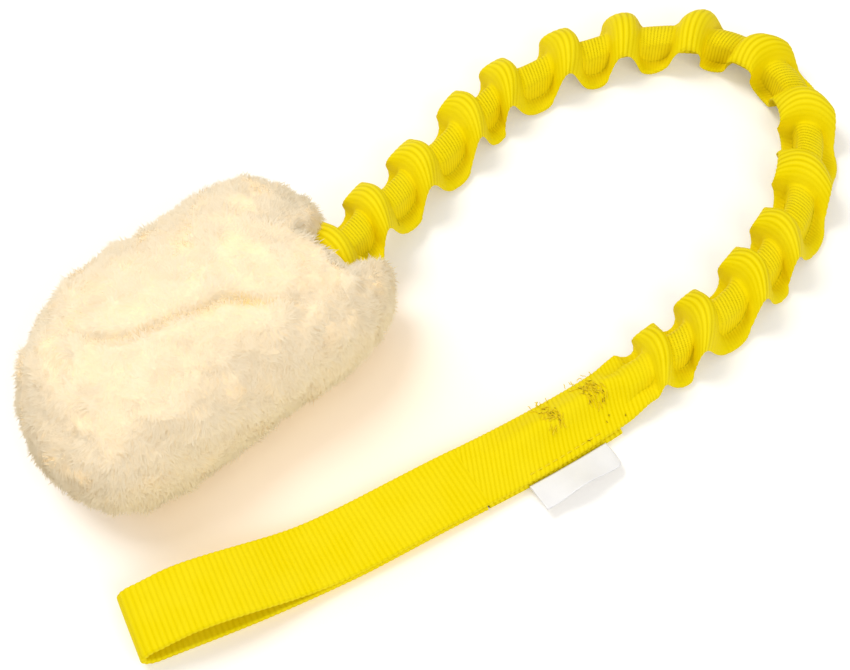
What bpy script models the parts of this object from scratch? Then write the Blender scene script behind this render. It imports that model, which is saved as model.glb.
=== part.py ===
"""Bungee tug toy: a sheepskin bite pad, a ruffled webbing sleeve over an elastic core, a sewn junction
with a blank label, and a folded webbing hand loop. It lies on a flat surface with its bungee in a U.

Metres, +Z up. The origin is the middle of the pad's flat underside, and +X runs along the hand loop."""

import math

import bmesh
import bpy
import numpy as np
from mathutils import Matrix, Vector

# Webbing, elastic and thread
WEBBING_WIDTH = 0.025
WEBBING_THICKNESS = 0.0021
SLEEVE_WIDTH = 0.0225
CORE_DIAMETER = 0.0075
CORE_CLEARANCE = 0.0005
SLEEVE_WALL = 0.0012
EDGE_THICKNESS = 0.0022
THREAD_DIAMETER = 0.0009
TOUCH_GAP = 0.0003

# Ruffles: the crests' places along the route from the pad's mouth, and how far the sleeve waves
RUFFLE_HEIGHT = 0.0068
RUFFLE_SKEW = 0.2
RUFFLE_CRESTS = (
    0.0165, 0.0460, 0.0780, 0.0990, 0.1285, 0.1530, 0.1815,
    0.2085, 0.2420, 0.2735, 0.3055, 0.3260, 0.3555, 0.3750,
)
RUFFLE_FADE = 0.011
RINGS_PER_RUFFLE = 8
FLOOR_CLEARANCE = 0.0007

# Where the bungee is divided, measured along the route from the pad's mouth
LINK_ENDS = (-0.0055, 0.0200, 0.1250, 0.1720, 0.2150, 0.2620, 0.3320, 0.3880)
LIFT_STATION = 0.4636
LOOP_TIP = 0.5805

# The route: x, y and the height over the bungee's resting height
ROUTE = (
    (0.0507, 0.0070, 0.0118),
    (0.0671, 0.0184, 0.0112),
    (0.0856, 0.0312, 0.0055),
    (0.1047, 0.0425, 0.0014),
    (0.1246, 0.0532, 0.0002),
    (0.1436, 0.0641, 0.0),
    (0.1629, 0.0694, 0.0),
    (0.1828, 0.0714, 0.0),
    (0.2015, 0.0707, 0.0),
    (0.2197, 0.0661, 0.0),
    (0.2371, 0.0573, 0.0),
    (0.2489, 0.0440, 0.0),
    (0.2544, 0.0256, 0.0),
    (0.2504, 0.0038, 0.0),
    (0.2380, -0.0160, 0.0),
    (0.2231, -0.0329, 0.0),
    (0.2043, -0.0452, 0.0),
    (0.1858, -0.0547, 0.0),
    (0.1674, -0.0609, -0.0005),
    (0.1491, -0.0656, -0.0018),
    (0.1330, -0.0702, -0.0028),
    (0.1164, -0.0739, -0.0028),
    (0.0918, -0.0777, -0.0028),
    (0.0558, -0.0816, -0.0028),
    (0.0209, -0.0854, -0.0028),
    (-0.0109, -0.0869, -0.0028),
    (-0.0409, -0.0868, -0.0028),
    (-0.0727, -0.0865, -0.0028),
)
MOUTH_POINT = 1
MOUTH_BLEND = 0.027

# Sewn junction
JUNCTION_BLEND = 0.009
JUNCTION_SPACING = 0.0072
TAIL_START = 0.4010
CORE_TAIL_LENGTH = 0.072
CORE_TAIL_THICKNESS = 0.0042
CORE_TAIL_WIDTH = 0.0094
CORE_TAIL_SHIFT = -0.0032
INNER_BARTACK = 0.4020
OUTER_BARTACK = 0.4200
BARTACK_WIDTH = 0.0055
BARTACK_PASSES = 7
STITCH_PITCH = 0.0015

# Hand loop
LOOP_OPENING = 0.0082
LOOP_OPEN_LENGTH = 0.071
LOOP_PEAK = 0.020
FOLD_DEPTH = 0.0055
FOLD_SHARE = 0.6
STRAND_GAP = 0.0004
STRAP_SPACING = 0.006

# Label
LABEL_START = 0.4085
LABEL_LENGTH = 0.031
LABEL_REACH = 0.0108
LABEL_THICKNESS = 0.0007
LABEL_WAVE = 0.0011
LABEL_TILT = math.radians(18)
LABEL_STITCH_INSET = 0.0022
LABEL_STITCH_PITCH = 0.0040

# Pad. Each swell is its place in the pad's axes, how far it spreads, and its height, below zero for a dent.
PAD_LENGTH = 0.1390
PAD_WIDTH = 0.0890
PAD_HEIGHT = 0.0572
PAD_LOWER_HEIGHT = 0.0194
PAD_TURN = math.radians(21)
PAD_SINK = 0.0005
PLAN_ROUNDING = 2.9
SIDE_ROUNDING = 2.15
BASE_FLATNESS = 1.7
FAR_CORNER_CUT = 0.14
NEAR_CORNER_SWELL = 0.24
SIDE_DRAW = 0.0018
PAD_SWELLS = (
    (0.020, 0.028, 0.048, 0.016, -0.0034),
    (0.050, 0.027, 0.042, 0.014, 0.0020),
    (0.060, 0.002, 0.040, 0.015, -0.0022),
    (-0.015, 0.033, 0.045, 0.017, 0.0020),
    (-0.055, -0.013, 0.042, 0.016, -0.0018),
    (-0.053, -0.030, 0.034, 0.014, 0.0012),
    (-0.038, -0.038, 0.030, 0.012, -0.0020),
    (-0.024, -0.038, 0.037, 0.014, 0.0014),
    (-0.009, -0.035, 0.042, 0.012, -0.0018),
    (0.020, -0.034, 0.040, 0.018, 0.0012),
    (0.062, -0.040, 0.026, 0.016, -0.0020),
)
PILE_DEPTH = 0.010
CREASE_FROM = (-0.0345, 0.0036)
CREASE_TO = (0.0200, -0.0180)
CREASE_WIDTH = 0.0086
CREASE_DEPTH = 0.0052
CLOSING_STITCH_PITCH = 0.0030
CLOSING_STITCH_WIDTH = 0.0042
MOUTH_CLEARANCE = 0.0010
MOUTH_CUT_REACH = 0.040
ANCHOR_LENGTH = 0.030
ANCHOR_THICKNESS = 0.0034

# Sizes that follow from those above
BULGE_RADIUS = CORE_DIAMETER / 2 + CORE_CLEARANCE + SLEEVE_WALL
BORE_RADIUS = CORE_DIAMETER / 2 + CORE_CLEARANCE
REST_HEIGHT = RUFFLE_HEIGHT + EDGE_THICKNESS / 2 + FLOOR_CLEARANCE
HALF_WIDTH = WEBBING_WIDTH / 2
STRAP_FLOOR = WEBBING_THICKNESS + TOUCH_GAP
CLOSED_TOP = 1.5 * WEBBING_THICKNESS + STRAND_GAP
MILLIMETRE = 0.001

YELLOW = (0.91, 0.72, 0.006)
YELLOW_THREAD = (0.86, 0.70, 0.10)
CREAM = (0.96, 0.84, 0.62)
WHITE = (0.88, 0.88, 0.86)
FILLING_WHITE = (0.80, 0.79, 0.76)
ELASTIC_WHITE = (0.75, 0.74, 0.70)


def clear_scene():
    for obj in list(bpy.data.objects):
        bpy.data.objects.remove(obj, do_unlink=True)
    for group in list(bpy.data.collections):
        bpy.data.collections.remove(group)


def new_collection(name):
    group = bpy.data.collections.new(name)
    bpy.context.scene.collection.children.link(group)
    return group


def material(name, colour, roughness):
    made = bpy.data.materials.new(name)
    made.use_nodes = True
    shader = made.node_tree.nodes["Principled BSDF"]
    shader.inputs["Base Color"].default_value = (*colour, 1)
    shader.inputs["Roughness"].default_value = roughness
    shader.inputs["Metallic"].default_value = 0.0
    return made


def object_from(bm, name, group, finish, smooth=True):
    mesh = bpy.data.meshes.new(name)
    bmesh.ops.recalc_face_normals(bm, faces=bm.faces)
    bm.to_mesh(mesh)
    bm.free()
    if smooth:
        mesh.shade_smooth()
    if finish:
        mesh.materials.append(finish)
    obj = bpy.data.objects.new(name, mesh)
    group.objects.link(obj)
    return obj


def make_cutter(obj):
    obj.hide_render = True
    obj.display_type = "WIRE"


def cut_from(obj, cutter, name):
    modifier = obj.modifiers.new(name, "BOOLEAN")
    modifier.operation = "DIFFERENCE"
    modifier.object = cutter


class Route:
    """A smooth curve through the route's points, read by the distance along it from the pad's mouth."""

    def __init__(self, points, zero_point, steps=24):
        raw = np.array([(x, y, REST_HEIGHT + lift) for x, y, lift in points])
        ends = np.vstack([2 * raw[0] - raw[1], raw, 2 * raw[-1] - raw[-2]])
        rows = []
        for a, b, c, d in zip(ends, ends[1:], ends[2:], ends[3:]):
            for t in np.arange(steps) / steps:
                bend = (2 * a - 5 * b + 4 * c - d) * t**2 + (3 * b - a - 3 * c + d) * t**3
                rows.append(0.5 * (2 * b + (c - a) * t + bend))
        rows.append(raw[-1])
        self.rows = np.array(rows)
        lengths = np.linalg.norm(np.diff(self.rows, axis=0), axis=1)
        self.along = np.concatenate([[0], np.cumsum(lengths)])
        self.along -= self.along[zero_point * steps]

    def place(self, s):
        return np.array([np.interp(s, self.along, self.rows[:, k]) for k in range(3)])

    def frame(self, s):
        """The place, and unit vectors along the route, to its left and upwards."""
        ahead = self.place(s + MILLIMETRE) - self.place(s - MILLIMETRE)
        ahead /= np.linalg.norm(ahead)
        left = np.cross((0, 0, 1), ahead)
        left /= np.linalg.norm(left)
        return self.place(s), ahead, left, np.cross(ahead, left)

    def level_point(self, s, aside, height):
        """A point beside the route at a height over the surface that the toy lies on."""
        place, _, left, _ = self.frame(s)
        return np.array([place[0] + left[0] * aside, place[1] + left[1] * aside, height])


def soft_max(a, b, blend=0.0012):
    return 0.5 * (a + b + math.sqrt((a - b) ** 2 + blend**2))


def ruffle_phase(s):
    crests = RUFFLE_CRESTS
    first = s < crests[0]
    last = s > crests[-1]
    if first:
        return (s - crests[0]) / (crests[1] - crests[0])
    if last:
        return len(crests) - 1 + (s - crests[-1]) / (crests[-1] - crests[-2])
    return float(np.interp(s, crests, range(len(crests))))


def half_width(s):
    """Half the webbing's width here: drawn in round the core, and full at the pad and the hand loop."""
    near_pad = min(max((s - LINK_ENDS[0]) / MOUTH_BLEND, 0), 1)
    near_loop = min(max((LIFT_STATION - s) / (LIFT_STATION - LINK_ENDS[-1]), 0), 1)
    drawn = near_pad * near_pad * (3 - 2 * near_pad) * near_loop
    return HALF_WIDTH - (HALF_WIDTH - SLEEVE_WIDTH / 2) * drawn


def ruffle_wave(s, aside, lift):
    """How far the flat sleeve is raised here: full height along the bungee, none at its ends."""
    start, end = LINK_ENDS[0], LINK_ENDS[-1]
    fade = min(max((s - start) / RUFFLE_FADE, 0), max((end - s) / RUFFLE_FADE, 0), 1)
    fade = fade * fade * (3 - 2 * fade)
    height = RUFFLE_HEIGHT + min(0, lift)
    return height * fade * math.cos(2 * math.pi * ruffle_phase(s - RUFFLE_SKEW * aside))


def section_sides(half):
    """Distances from the middle of the strap at which its section has points, from the middle out."""
    rim = half - BULGE_RADIUS
    return (0, 0.54 * BULGE_RADIUS, BULGE_RADIUS, BULGE_RADIUS + 0.45 * rim, BULGE_RADIUS + 0.88 * rim)


def sleeve_ring(s, lift):
    """Points round the sleeve, as (aside, height over the core's middle), from the left edge over the top.

    Lift is how far the core's middle lies over its usual height. Where it is low, so are the ruffles."""
    half = half_width(s)
    sides = section_sides(half)
    bulge = (BULGE_RADIUS, 0.84 * BULGE_RADIUS, 0.2 * BULGE_RADIUS)

    def top(aside, index, sign):
        flat = sign * ruffle_wave(s, aside, lift) + EDGE_THICKNESS / 2 * (1 if index < 4 else 0.8)
        return soft_max(flat, bulge[index]) if index < 3 else flat

    order = [4, 3, 2, 1, 0]
    upper = [(sides[i], top(sides[i], i, 1)) for i in order]
    upper += [(-sides[i], top(-sides[i], i, 1)) for i in reversed(order[:-1])]
    lower = [(-sides[i], -top(-sides[i], i, -1)) for i in order]
    lower += [(sides[i], -top(sides[i], i, -1)) for i in reversed(order[:-1])]
    left = (half, ruffle_wave(s, half, lift))
    right = (-half, ruffle_wave(s, -half, lift))
    return [left, *upper, right, *lower]


def oval_ring(count, half_width, half_height, shift=0.0, rise=0.0):
    angles = [2 * math.pi * k / count for k in range(count)]
    return [(shift + half_width * math.cos(a), rise + half_height * math.sin(a)) for a in angles]


def loft_tube(name, rings, bores, group, finish):
    """A tube through unlike sections, with a bore of half as many points a ring where bores are given."""
    bm = bmesh.new()
    outer = [[bm.verts.new(p) for p in ring] for ring in rings]
    inner = [[bm.verts.new(p) for p in ring] for ring in bores or []]
    for loops in (outer, inner):
        for near, far in zip(loops, loops[1:]):
            for k in range(len(near)):
                after = (k + 1) % len(near)
                bm.faces.new((near[k], near[after], far[after], far[k]))
    for end in (0, -1):
        if not inner:
            bm.faces.new(outer[end])
            continue
        for k, corner in enumerate(inner[end]):
            near = outer[end][2 * k]
            middle = outer[end][2 * k + 1]
            far = outer[end][(2 * k + 2) % len(outer[end])]
            after = inner[end][(k + 1) % len(inner[end])]
            bm.faces.new((corner, near, middle))
            bm.faces.new((corner, middle, after))
            bm.faces.new((after, middle, far))
    bmesh.ops.triangulate(bm, faces=bm.faces)
    return object_from(bm, name, group, finish)


def stations(start, end, spacing):
    count = max(2, math.ceil((end - start) / spacing) + 1)
    return np.linspace(start, end, count)


def thread_curve(name, points, diameter, group, finish, resolution=1):
    """A thread or cord: a curve through these points with a round bevel and filled ends."""
    data = bpy.data.curves.new(name, "CURVE")
    data.dimensions = "3D"
    data.bevel_depth = diameter / 2
    data.bevel_resolution = resolution
    data.use_fill_caps = True
    data.materials.append(finish)
    spline = data.splines.new("POLY")
    spline.points.add(len(points) - 1)
    for point, place in zip(spline.points, points):
        point.co = (*place, 1)
    obj = bpy.data.objects.new(name, data)
    group.objects.link(obj)
    return obj


def serpentine(passes, width, pitch):
    """A thread that goes to and fro: (along, across) points with a round turn at the end of each pass."""
    turn = pitch / 2
    reach = width / 2 - turn
    points = []
    for k in range(passes):
        side = 1 if k % 2 else -1
        along = (k - (passes - 1) / 2) * pitch
        points += [(along, side * reach), (along, 0), (along, -side * reach)]
        if k < passes - 1:
            for angle in (45, 135):
                a = math.radians(angle)
                points.append((along + turn * (1 - math.cos(a)), -side * (reach + turn * math.sin(a))))
    return points


def pad_point(a, b, c, shrink=0.0):
    """A point of the pad's surface, from one on a cube's. Shrink is the depth under the surface."""
    plan = (abs(a) ** PLAN_ROUNDING + abs(b) ** PLAN_ROUNDING) ** (1 / PLAN_ROUNDING)
    size = (plan**SIDE_ROUNDING + abs(c) ** SIDE_ROUNDING) ** (-1 / SIDE_ROUNDING)
    x, y, z = a * size, b * size, c * size
    corners = 1 - FAR_CORNER_CUT * max(-x, 0) * max(y, 0) + NEAR_CORNER_SWELL * max(x, 0) * max(-y, 0)
    draw = SIDE_DRAW * (1 - z * z)
    half_length = PAD_LENGTH / 2 - shrink - draw * max(0, 1 - (y / 0.8) ** 2)
    half_width_here = PAD_WIDTH / 2 - shrink - draw * max(0, 1 - (x / 0.8) ** 2)
    upper = PAD_HEIGHT - PAD_LOWER_HEIGHT - shrink
    lower = PAD_LOWER_HEIGHT + PAD_SINK - shrink
    height = PAD_LOWER_HEIGHT + (z * upper if z > 0 else ((1 + z) ** BASE_FLATNESS - 1) * lower)
    point = Vector((x * corners * half_length, y * corners * half_width_here, height))
    out = (point - Vector((0, 0, PAD_LOWER_HEIGHT))).normalized()
    swell = 0
    for *place, spread, rise in PAD_SWELLS:
        swell += rise * math.exp(-(point - Vector(place)).length_squared / spread**2)
    return point + out * swell


def pad_form(name, group, finish, cuts, shrink):
    bm = bmesh.new()
    bmesh.ops.create_cube(bm, size=2)
    bmesh.ops.subdivide_edges(bm, edges=bm.edges, cuts=cuts, use_grid_fill=True)
    for vert in bm.verts:
        spread = [math.sin(v * math.pi / 4) / math.sin(math.pi / 4) for v in vert.co]
        x, y, z = pad_point(*spread, shrink)
        vert.co = (x, y, max(z, shrink))
    return object_from(bm, name, group, finish)


def oriented_box(name, group, centre, ahead, left, sizes):
    """A box whose first side runs along ahead and whose second runs along left."""
    bm = bmesh.new()
    bmesh.ops.create_cube(bm, size=1)
    bmesh.ops.scale(bm, verts=bm.verts, vec=sizes)
    turn = Matrix((ahead, left, np.cross(ahead, left))).transposed()
    bmesh.ops.rotate(bm, verts=bm.verts, matrix=turn)
    bmesh.ops.translate(bm, verts=bm.verts, vec=centre)
    return object_from(bm, name, group, None, smooth=False)


def make_pad(route, group, cutters, cloth, filling, thread, yellow):
    axis = bpy.data.objects.new("pad_axis", None)
    axis.rotation_euler = (0, 0, PAD_TURN)
    group.objects.link(axis)

    cover = pad_form("fleece_cover", group, cloth, 12, 0.0)
    cavity = pad_form("pad_cavity", cutters, None, 5, PILE_DEPTH)
    stuffing = pad_form("pad_filling", group, filling, 5, PILE_DEPTH + TOUCH_GAP)
    for obj in (cover, cavity, stuffing):
        obj.parent = axis
    make_cutter(cavity)
    cut_from(cover, cavity, "Cavity")

    place, ahead, left, _ = route.frame(LINK_ENDS[0])
    across = WEBBING_WIDTH + 2 * MOUTH_CLEARANCE
    high = 2 * (BULGE_RADIUS + MOUTH_CLEARANCE)
    back = ANCHOR_LENGTH + 2 * MOUTH_CLEARANCE
    middle = place + ahead * (MOUTH_CUT_REACH - back) / 2
    sizes = (MOUTH_CUT_REACH + back, across, high)
    mouth = oriented_box("mouth_cutter", cutters, middle, ahead, left, sizes)
    make_cutter(mouth)
    cut_from(cover, mouth, "Mouth")
    cut_from(stuffing, mouth, "Mouth")

    start, end = Vector((*CREASE_FROM, 0)), Vector((*CREASE_TO, 0))
    seam = (end - start).normalized()
    beside = Vector((-seam.y, seam.x, 0))
    centre = (start + end) / 2 + Vector((0, 0, PAD_HEIGHT))
    reach = (end - start).length / 2
    bm = bmesh.new()
    bmesh.ops.create_uvsphere(bm, u_segments=24, v_segments=12, radius=1)
    bmesh.ops.scale(bm, verts=bm.verts, vec=(reach, CREASE_WIDTH / 2, CREASE_DEPTH))
    bmesh.ops.rotate(bm, verts=bm.verts, matrix=Matrix((seam, beside, (0, 0, 1))).transposed())
    bmesh.ops.translate(bm, verts=bm.verts, vec=centre)
    crease = object_from(bm, "crease_cutter", cutters, None)
    crease.parent = axis
    make_cutter(crease)
    cut_from(cover, crease, "Crease")

    passes = int(1.5 * reach / CLOSING_STITCH_PITCH)
    points = []
    for along, aside in serpentine(passes, CLOSING_STITCH_WIDTH, CLOSING_STITCH_PITCH):
        share = 1 - (along / reach) ** 2 - (2 * aside / CREASE_WIDTH) ** 2
        depth = CREASE_DEPTH * math.sqrt(share) - THREAD_DIAMETER / 2 - 2 * TOUCH_GAP
        points.append(centre + seam * along + beside * aside - Vector((0, 0, depth)))
    stitches = thread_curve("closing_stitches", points, THREAD_DIAMETER, group, thread)
    stitches.parent = axis

    tail_middle = place - ahead * (TOUCH_GAP + ANCHOR_LENGTH / 2)
    size = (ANCHOR_LENGTH, WEBBING_WIDTH, ANCHOR_THICKNESS)
    tail = oriented_box("anchor_tail", group, tail_middle, ahead, left, size)
    tail.data.materials.append(yellow)

    up = np.cross(ahead, left)
    over = ANCHOR_THICKNESS / 2 + THREAD_DIAMETER / 2 + TOUCH_GAP
    base = tail_middle - ahead * ANCHOR_LENGTH * 0.1 + up * over
    points = [
        base + ahead * along + left * aside
        for along, aside in serpentine(BARTACK_PASSES, 0.7 * WEBBING_WIDTH, STITCH_PITCH)
    ]
    thread_curve("anchor_stitches", points, THREAD_DIAMETER, group, thread)


def make_bungee(route, group, elastic, yellow):
    spacing = np.mean(np.diff(RUFFLE_CRESTS)) / RINGS_PER_RUFFLE
    for number, (start, end) in enumerate(zip(LINK_ENDS, LINK_ENDS[1:]), 1):
        first, last = start + TOUCH_GAP / 2, end - TOUCH_GAP / 2
        rings, bores = [], []
        for s in stations(first, last, spacing):
            place, _, left, up = route.frame(s)
            rings.append([place + left * y + up * z for y, z in sleeve_ring(s, place[2] - REST_HEIGHT)])
            bore = oval_ring(10, BORE_RADIUS, BORE_RADIUS)
            bores.append([place + left * y + up * z for y, z in bore])
        loft_tube(f"sleeve_{number}", rings, bores, group, yellow)
        inside = stations(first + MILLIMETRE, last - MILLIMETRE, CORE_DIAMETER)
        points = [route.place(s) for s in (first, *inside, last)]
        thread_curve(f"core_{number}", points, CORE_DIAMETER, group, elastic, resolution=2)


def junction_stations(start, end):
    """Close together where the section changes, and further apart after."""
    level = LINK_ENDS[-1] + JUNCTION_BLEND
    return [*stations(start, level, JUNCTION_BLEND / 5), *stations(level, end, JUNCTION_SPACING)[1:]]


def junction_share(s):
    share = min(max((s - LINK_ENDS[-1]) / JUNCTION_BLEND, 0), 1)
    return share * share * (3 - 2 * share)


def core_tail_section(s):
    """Half the width and height, sideways shift and middle height of the elastic's flattened end."""
    share = junction_share(s)
    end = LINK_ENDS[-1] + CORE_TAIL_LENGTH
    taper = min(1, 0.35 + (end - s) / (0.4 * CORE_TAIL_LENGTH))
    radius = CORE_DIAMETER / 2
    core_half = radius + (CORE_TAIL_WIDTH / 2 - radius) * share
    half_height = (radius + (CORE_TAIL_THICKNESS / 2 - radius) * share) * taper
    flat_middle = STRAP_FLOOR + WEBBING_THICKNESS / 2 + CORE_CLEARANCE + half_height
    middle = (1 - share) * (REST_HEIGHT + ROUTE[-1][2]) + share * flat_middle
    return core_half, half_height, CORE_TAIL_SHIFT * share, middle


def junction_ring(s):
    """Points round the sewn junction as (aside, height over the floor), ordered as the sleeve's are."""
    share = junction_share(s)
    core_half, half_height, shift, middle = core_tail_section(s)
    layer = WEBBING_THICKNESS / 2
    base = REST_HEIGHT + ROUTE[-1][2]
    sleeve = [(y, base + z) for y, z in sleeve_ring(LINK_ENDS[-1], ROUTE[-1][2])]
    half = half_width(s)
    bulge = core_half + CORE_CLEARANCE + layer
    crown = middle + half_height + CORE_CLEARANCE + layer
    edge_top = STRAP_FLOOR + WEBBING_THICKNESS
    heights = [edge_top + (crown - edge_top) * factor for factor in (1, 0.88, 0.36, 0, 0)]

    def spots(side):
        start = shift + side * bulge
        rim = side * half - start
        return (shift, shift + side * 0.54 * bulge, start, start + 0.45 * rim, start + 0.88 * rim)

    outline = [(spots(1)[i], heights[i]) for i in (4, 3, 2, 1, 0)]
    outline += [(spots(-1)[i], heights[i]) for i in (1, 2, 3, 4)]
    under = [(y, STRAP_FLOOR) for y, _ in reversed(outline)]
    flat = [(half, STRAP_FLOOR + layer), *outline, (-half, STRAP_FLOOR + layer), *under]
    pairs = zip(sleeve, flat)
    return [((1 - share) * a + share * c, (1 - share) * b + share * d) for (a, b), (c, d) in pairs]


def junction_top(s, aside):
    """The height of the junction's upper face."""
    upper = sorted(junction_ring(s)[:11])
    return float(np.interp(aside, [y for y, _ in upper], [z for _, z in upper]))


def make_junction(route, group, elastic, yellow, thread):
    start, end = LINK_ENDS[-1] + TOUCH_GAP / 2, LIFT_STATION - TOUCH_GAP / 2
    rings, bores = [], []
    for s in junction_stations(start, end):
        rings.append([route.level_point(s, y, z) for y, z in junction_ring(s)])
        inside = min(s, LINK_ENDS[-1] + CORE_TAIL_LENGTH)
        core_half, half_height, shift, middle = core_tail_section(inside)
        width, height = core_half + CORE_CLEARANCE, half_height + CORE_CLEARANCE
        bore = oval_ring(10, width, height, shift, middle)
        bores.append([route.level_point(s, y, z) for y, z in bore])
    loft_tube("junction_strap", rings, bores, group, yellow)

    tail = []
    for s in junction_stations(start, LINK_ENDS[-1] + CORE_TAIL_LENGTH):
        core_half, half_height, shift, middle = core_tail_section(s)
        section = oval_ring(10, core_half, half_height, shift, middle)
        tail.append([route.level_point(s, y, z) for y, z in section])
    loft_tube("core_tail", tail, None, group, elastic)

    flat = strap_section()
    lower = []
    for s in stations(TAIL_START, end, STRAP_SPACING):
        lower.append([route.level_point(s, y, WEBBING_THICKNESS / 2 + z) for y, z in flat])
    loft_tube("loop_tail", lower, None, group, yellow)

    for name, station in (("inner_bartack", INNER_BARTACK), ("outer_bartack", OUTER_BARTACK)):
        points = []
        for along, aside in serpentine(BARTACK_PASSES, BARTACK_WIDTH, STITCH_PITCH):
            s, y = station + along, aside + CORE_TAIL_SHIFT
            height = junction_top(s, y) + THREAD_DIAMETER / 2 + TOUCH_GAP
            points.append(route.level_point(s, y, height))
        thread_curve(name, points, THREAD_DIAMETER, group, thread)


def strap_section():
    """Half of each side of the flat webbing's section: (aside, height over its middle), edges eased."""
    edge, face = HALF_WIDTH, WEBBING_THICKNESS / 2
    ease = 0.6 * face
    return [
        (edge, 0), (edge - ease, face), (0, face), (ease - edge, face),
        (-edge, 0), (ease - edge, -face), (0, -face), (edge - ease, -face),
    ]


def loop_height(back):
    """Middle height of the upper strand at this distance back from the fold."""
    if back < LOOP_PEAK:
        share = FOLD_SHARE + (1 - FOLD_SHARE) * math.sin(math.pi / 2 * back / LOOP_PEAK) ** 2
    elif back < LOOP_OPEN_LENGTH:
        share = math.cos(math.pi / 2 * (back - LOOP_PEAK) / (LOOP_OPEN_LENGTH - LOOP_PEAK)) ** 2
    else:
        share = 0
    return CLOSED_TOP + LOOP_OPENING * share


def loop_profile():
    """Middle line of the folded webbing as (distance along the route, height), from the top strand's root."""
    root = LIFT_STATION + TOUCH_GAP / 2
    fold = LOOP_TIP - WEBBING_THICKNESS / 2
    open_from = fold - LOOP_OPEN_LENGTH
    closed = [(s, CLOSED_TOP) for s in stations(root, open_from, 1.5 * STRAP_SPACING)]
    curved = stations(open_from, fold - FOLD_DEPTH, 0.7 * STRAP_SPACING)[1:]
    opened = [(s, loop_height(fold - s)) for s in curved]
    high, low = opened[-1][1], WEBBING_THICKNESS / 2
    middle, reach = (high + low) / 2, (high - low) / 2
    turn = [
        (fold - FOLD_DEPTH + FOLD_DEPTH * math.sin(a), middle + reach * math.cos(a))
        for a in np.linspace(0, math.pi, 11)[1:]
    ]
    back = [(s, low) for s in stations(root, fold - FOLD_DEPTH, 1.5 * STRAP_SPACING)[::-1][1:]]
    return closed + opened + turn + back


def make_loop(route, group, yellow):
    profile = loop_profile()
    path = np.array(profile)
    rings = []
    for k, (s, height) in enumerate(profile):
        if k == 0 or k == len(profile) - 1:
            normal = np.array([0, 1]) if k == 0 else np.array([0, -1])
        else:
            step = path[k + 1] - path[k - 1]
            normal = np.array([-step[1], step[0]]) / np.linalg.norm(step)
        ring = []
        for aside, out in strap_section():
            ring.append(route.level_point(s + normal[0] * out, aside, height + normal[1] * out))
        rings.append(ring)
    loft_tube("handle_loop", rings, None, group, yellow)


def make_label(route, group, cloth, thread):
    """A folded tape sewn into the strap's edge, standing out and tilted up, with a shallow wave."""
    middle = LABEL_START + LABEL_LENGTH / 2
    root = Vector(route.level_point(middle, HALF_WIDTH + TOUCH_GAP, STRAP_FLOOR))
    _, ahead, left, _ = route.frame(middle)
    ahead = Vector((ahead[0], ahead[1], 0)).normalized()
    left = Vector((left[0], left[1], 0)).normalized()
    bm = bmesh.new()
    bmesh.ops.create_grid(bm, x_segments=12, y_segments=3, size=0.5)
    for vert in bm.verts:
        out = vert.co.y + 0.5
        wave = LABEL_WAVE * out * math.sin(2 * math.pi * (vert.co.x + 0.1))
        vert.co = (vert.co.x * LABEL_LENGTH, out * LABEL_REACH, wave)
    bmesh.ops.rotate(bm, verts=bm.verts, matrix=Matrix.Rotation(LABEL_TILT, 3, "X"))
    label = object_from(bm, "label", group, cloth)
    turn = Matrix((ahead, left, (0, 0, 1))).transposed().to_4x4()
    label.matrix_world = Matrix.Translation(root) @ turn
    shell = label.modifiers.new("Tape", "SOLIDIFY")
    shell.thickness = LABEL_THICKNESS
    shell.offset = 0

    points = []
    for s in stations(LABEL_START, LABEL_START + LABEL_LENGTH, LABEL_STITCH_PITCH):
        aside = half_width(LABEL_START) - LABEL_STITCH_INSET
        height = junction_top(s, aside) + THREAD_DIAMETER / 2 + TOUCH_GAP
        points.append(route.level_point(s, aside, height))
    thread_curve("label_stitches", points, THREAD_DIAMETER, group, thread)


def main():
    clear_scene()
    toy = new_collection("bungee_tug_toy")
    cutters = new_collection("cutters")
    route = Route(ROUTE, MOUTH_POINT)
    fleece = material("fleece", CREAM, 0.95)
    filling = material("filling", FILLING_WHITE, 0.95)
    yellow = material("yellow_webbing", YELLOW, 0.55)
    thread = material("yellow_thread", YELLOW_THREAD, 0.6)
    elastic = material("elastic", ELASTIC_WHITE, 0.7)
    tape = material("label_tape", WHITE, 0.5)
    make_pad(route, toy, cutters, fleece, filling, thread, yellow)
    make_bungee(route, toy, elastic, yellow)
    make_junction(route, toy, elastic, yellow, thread)
    make_loop(route, toy, yellow)
    make_label(route, toy, tape, thread)


main()
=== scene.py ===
"""Looks of the bungee tug toy: sheepskin pile, ruffled webbing, sewing, label, floor, light and camera.

Metres, +Z up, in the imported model's frame. Distances along the bungee are measured from the pad's mouth."""

import math

import bpy
import numpy as np
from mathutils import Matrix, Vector


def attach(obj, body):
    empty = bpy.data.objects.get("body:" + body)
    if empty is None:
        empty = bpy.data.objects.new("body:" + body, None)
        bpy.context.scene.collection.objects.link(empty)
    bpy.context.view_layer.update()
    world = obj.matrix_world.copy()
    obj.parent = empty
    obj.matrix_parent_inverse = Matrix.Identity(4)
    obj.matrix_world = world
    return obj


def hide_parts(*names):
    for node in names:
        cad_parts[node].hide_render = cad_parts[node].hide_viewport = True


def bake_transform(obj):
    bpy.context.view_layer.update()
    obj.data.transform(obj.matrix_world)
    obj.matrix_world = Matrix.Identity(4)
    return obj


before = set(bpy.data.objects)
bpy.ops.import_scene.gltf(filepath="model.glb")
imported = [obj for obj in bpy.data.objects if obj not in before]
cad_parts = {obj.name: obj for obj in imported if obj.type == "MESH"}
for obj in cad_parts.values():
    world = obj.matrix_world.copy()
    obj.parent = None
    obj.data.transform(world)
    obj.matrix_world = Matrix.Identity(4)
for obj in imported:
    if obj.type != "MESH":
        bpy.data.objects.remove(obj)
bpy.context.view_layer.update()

MM = 0.001

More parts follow.
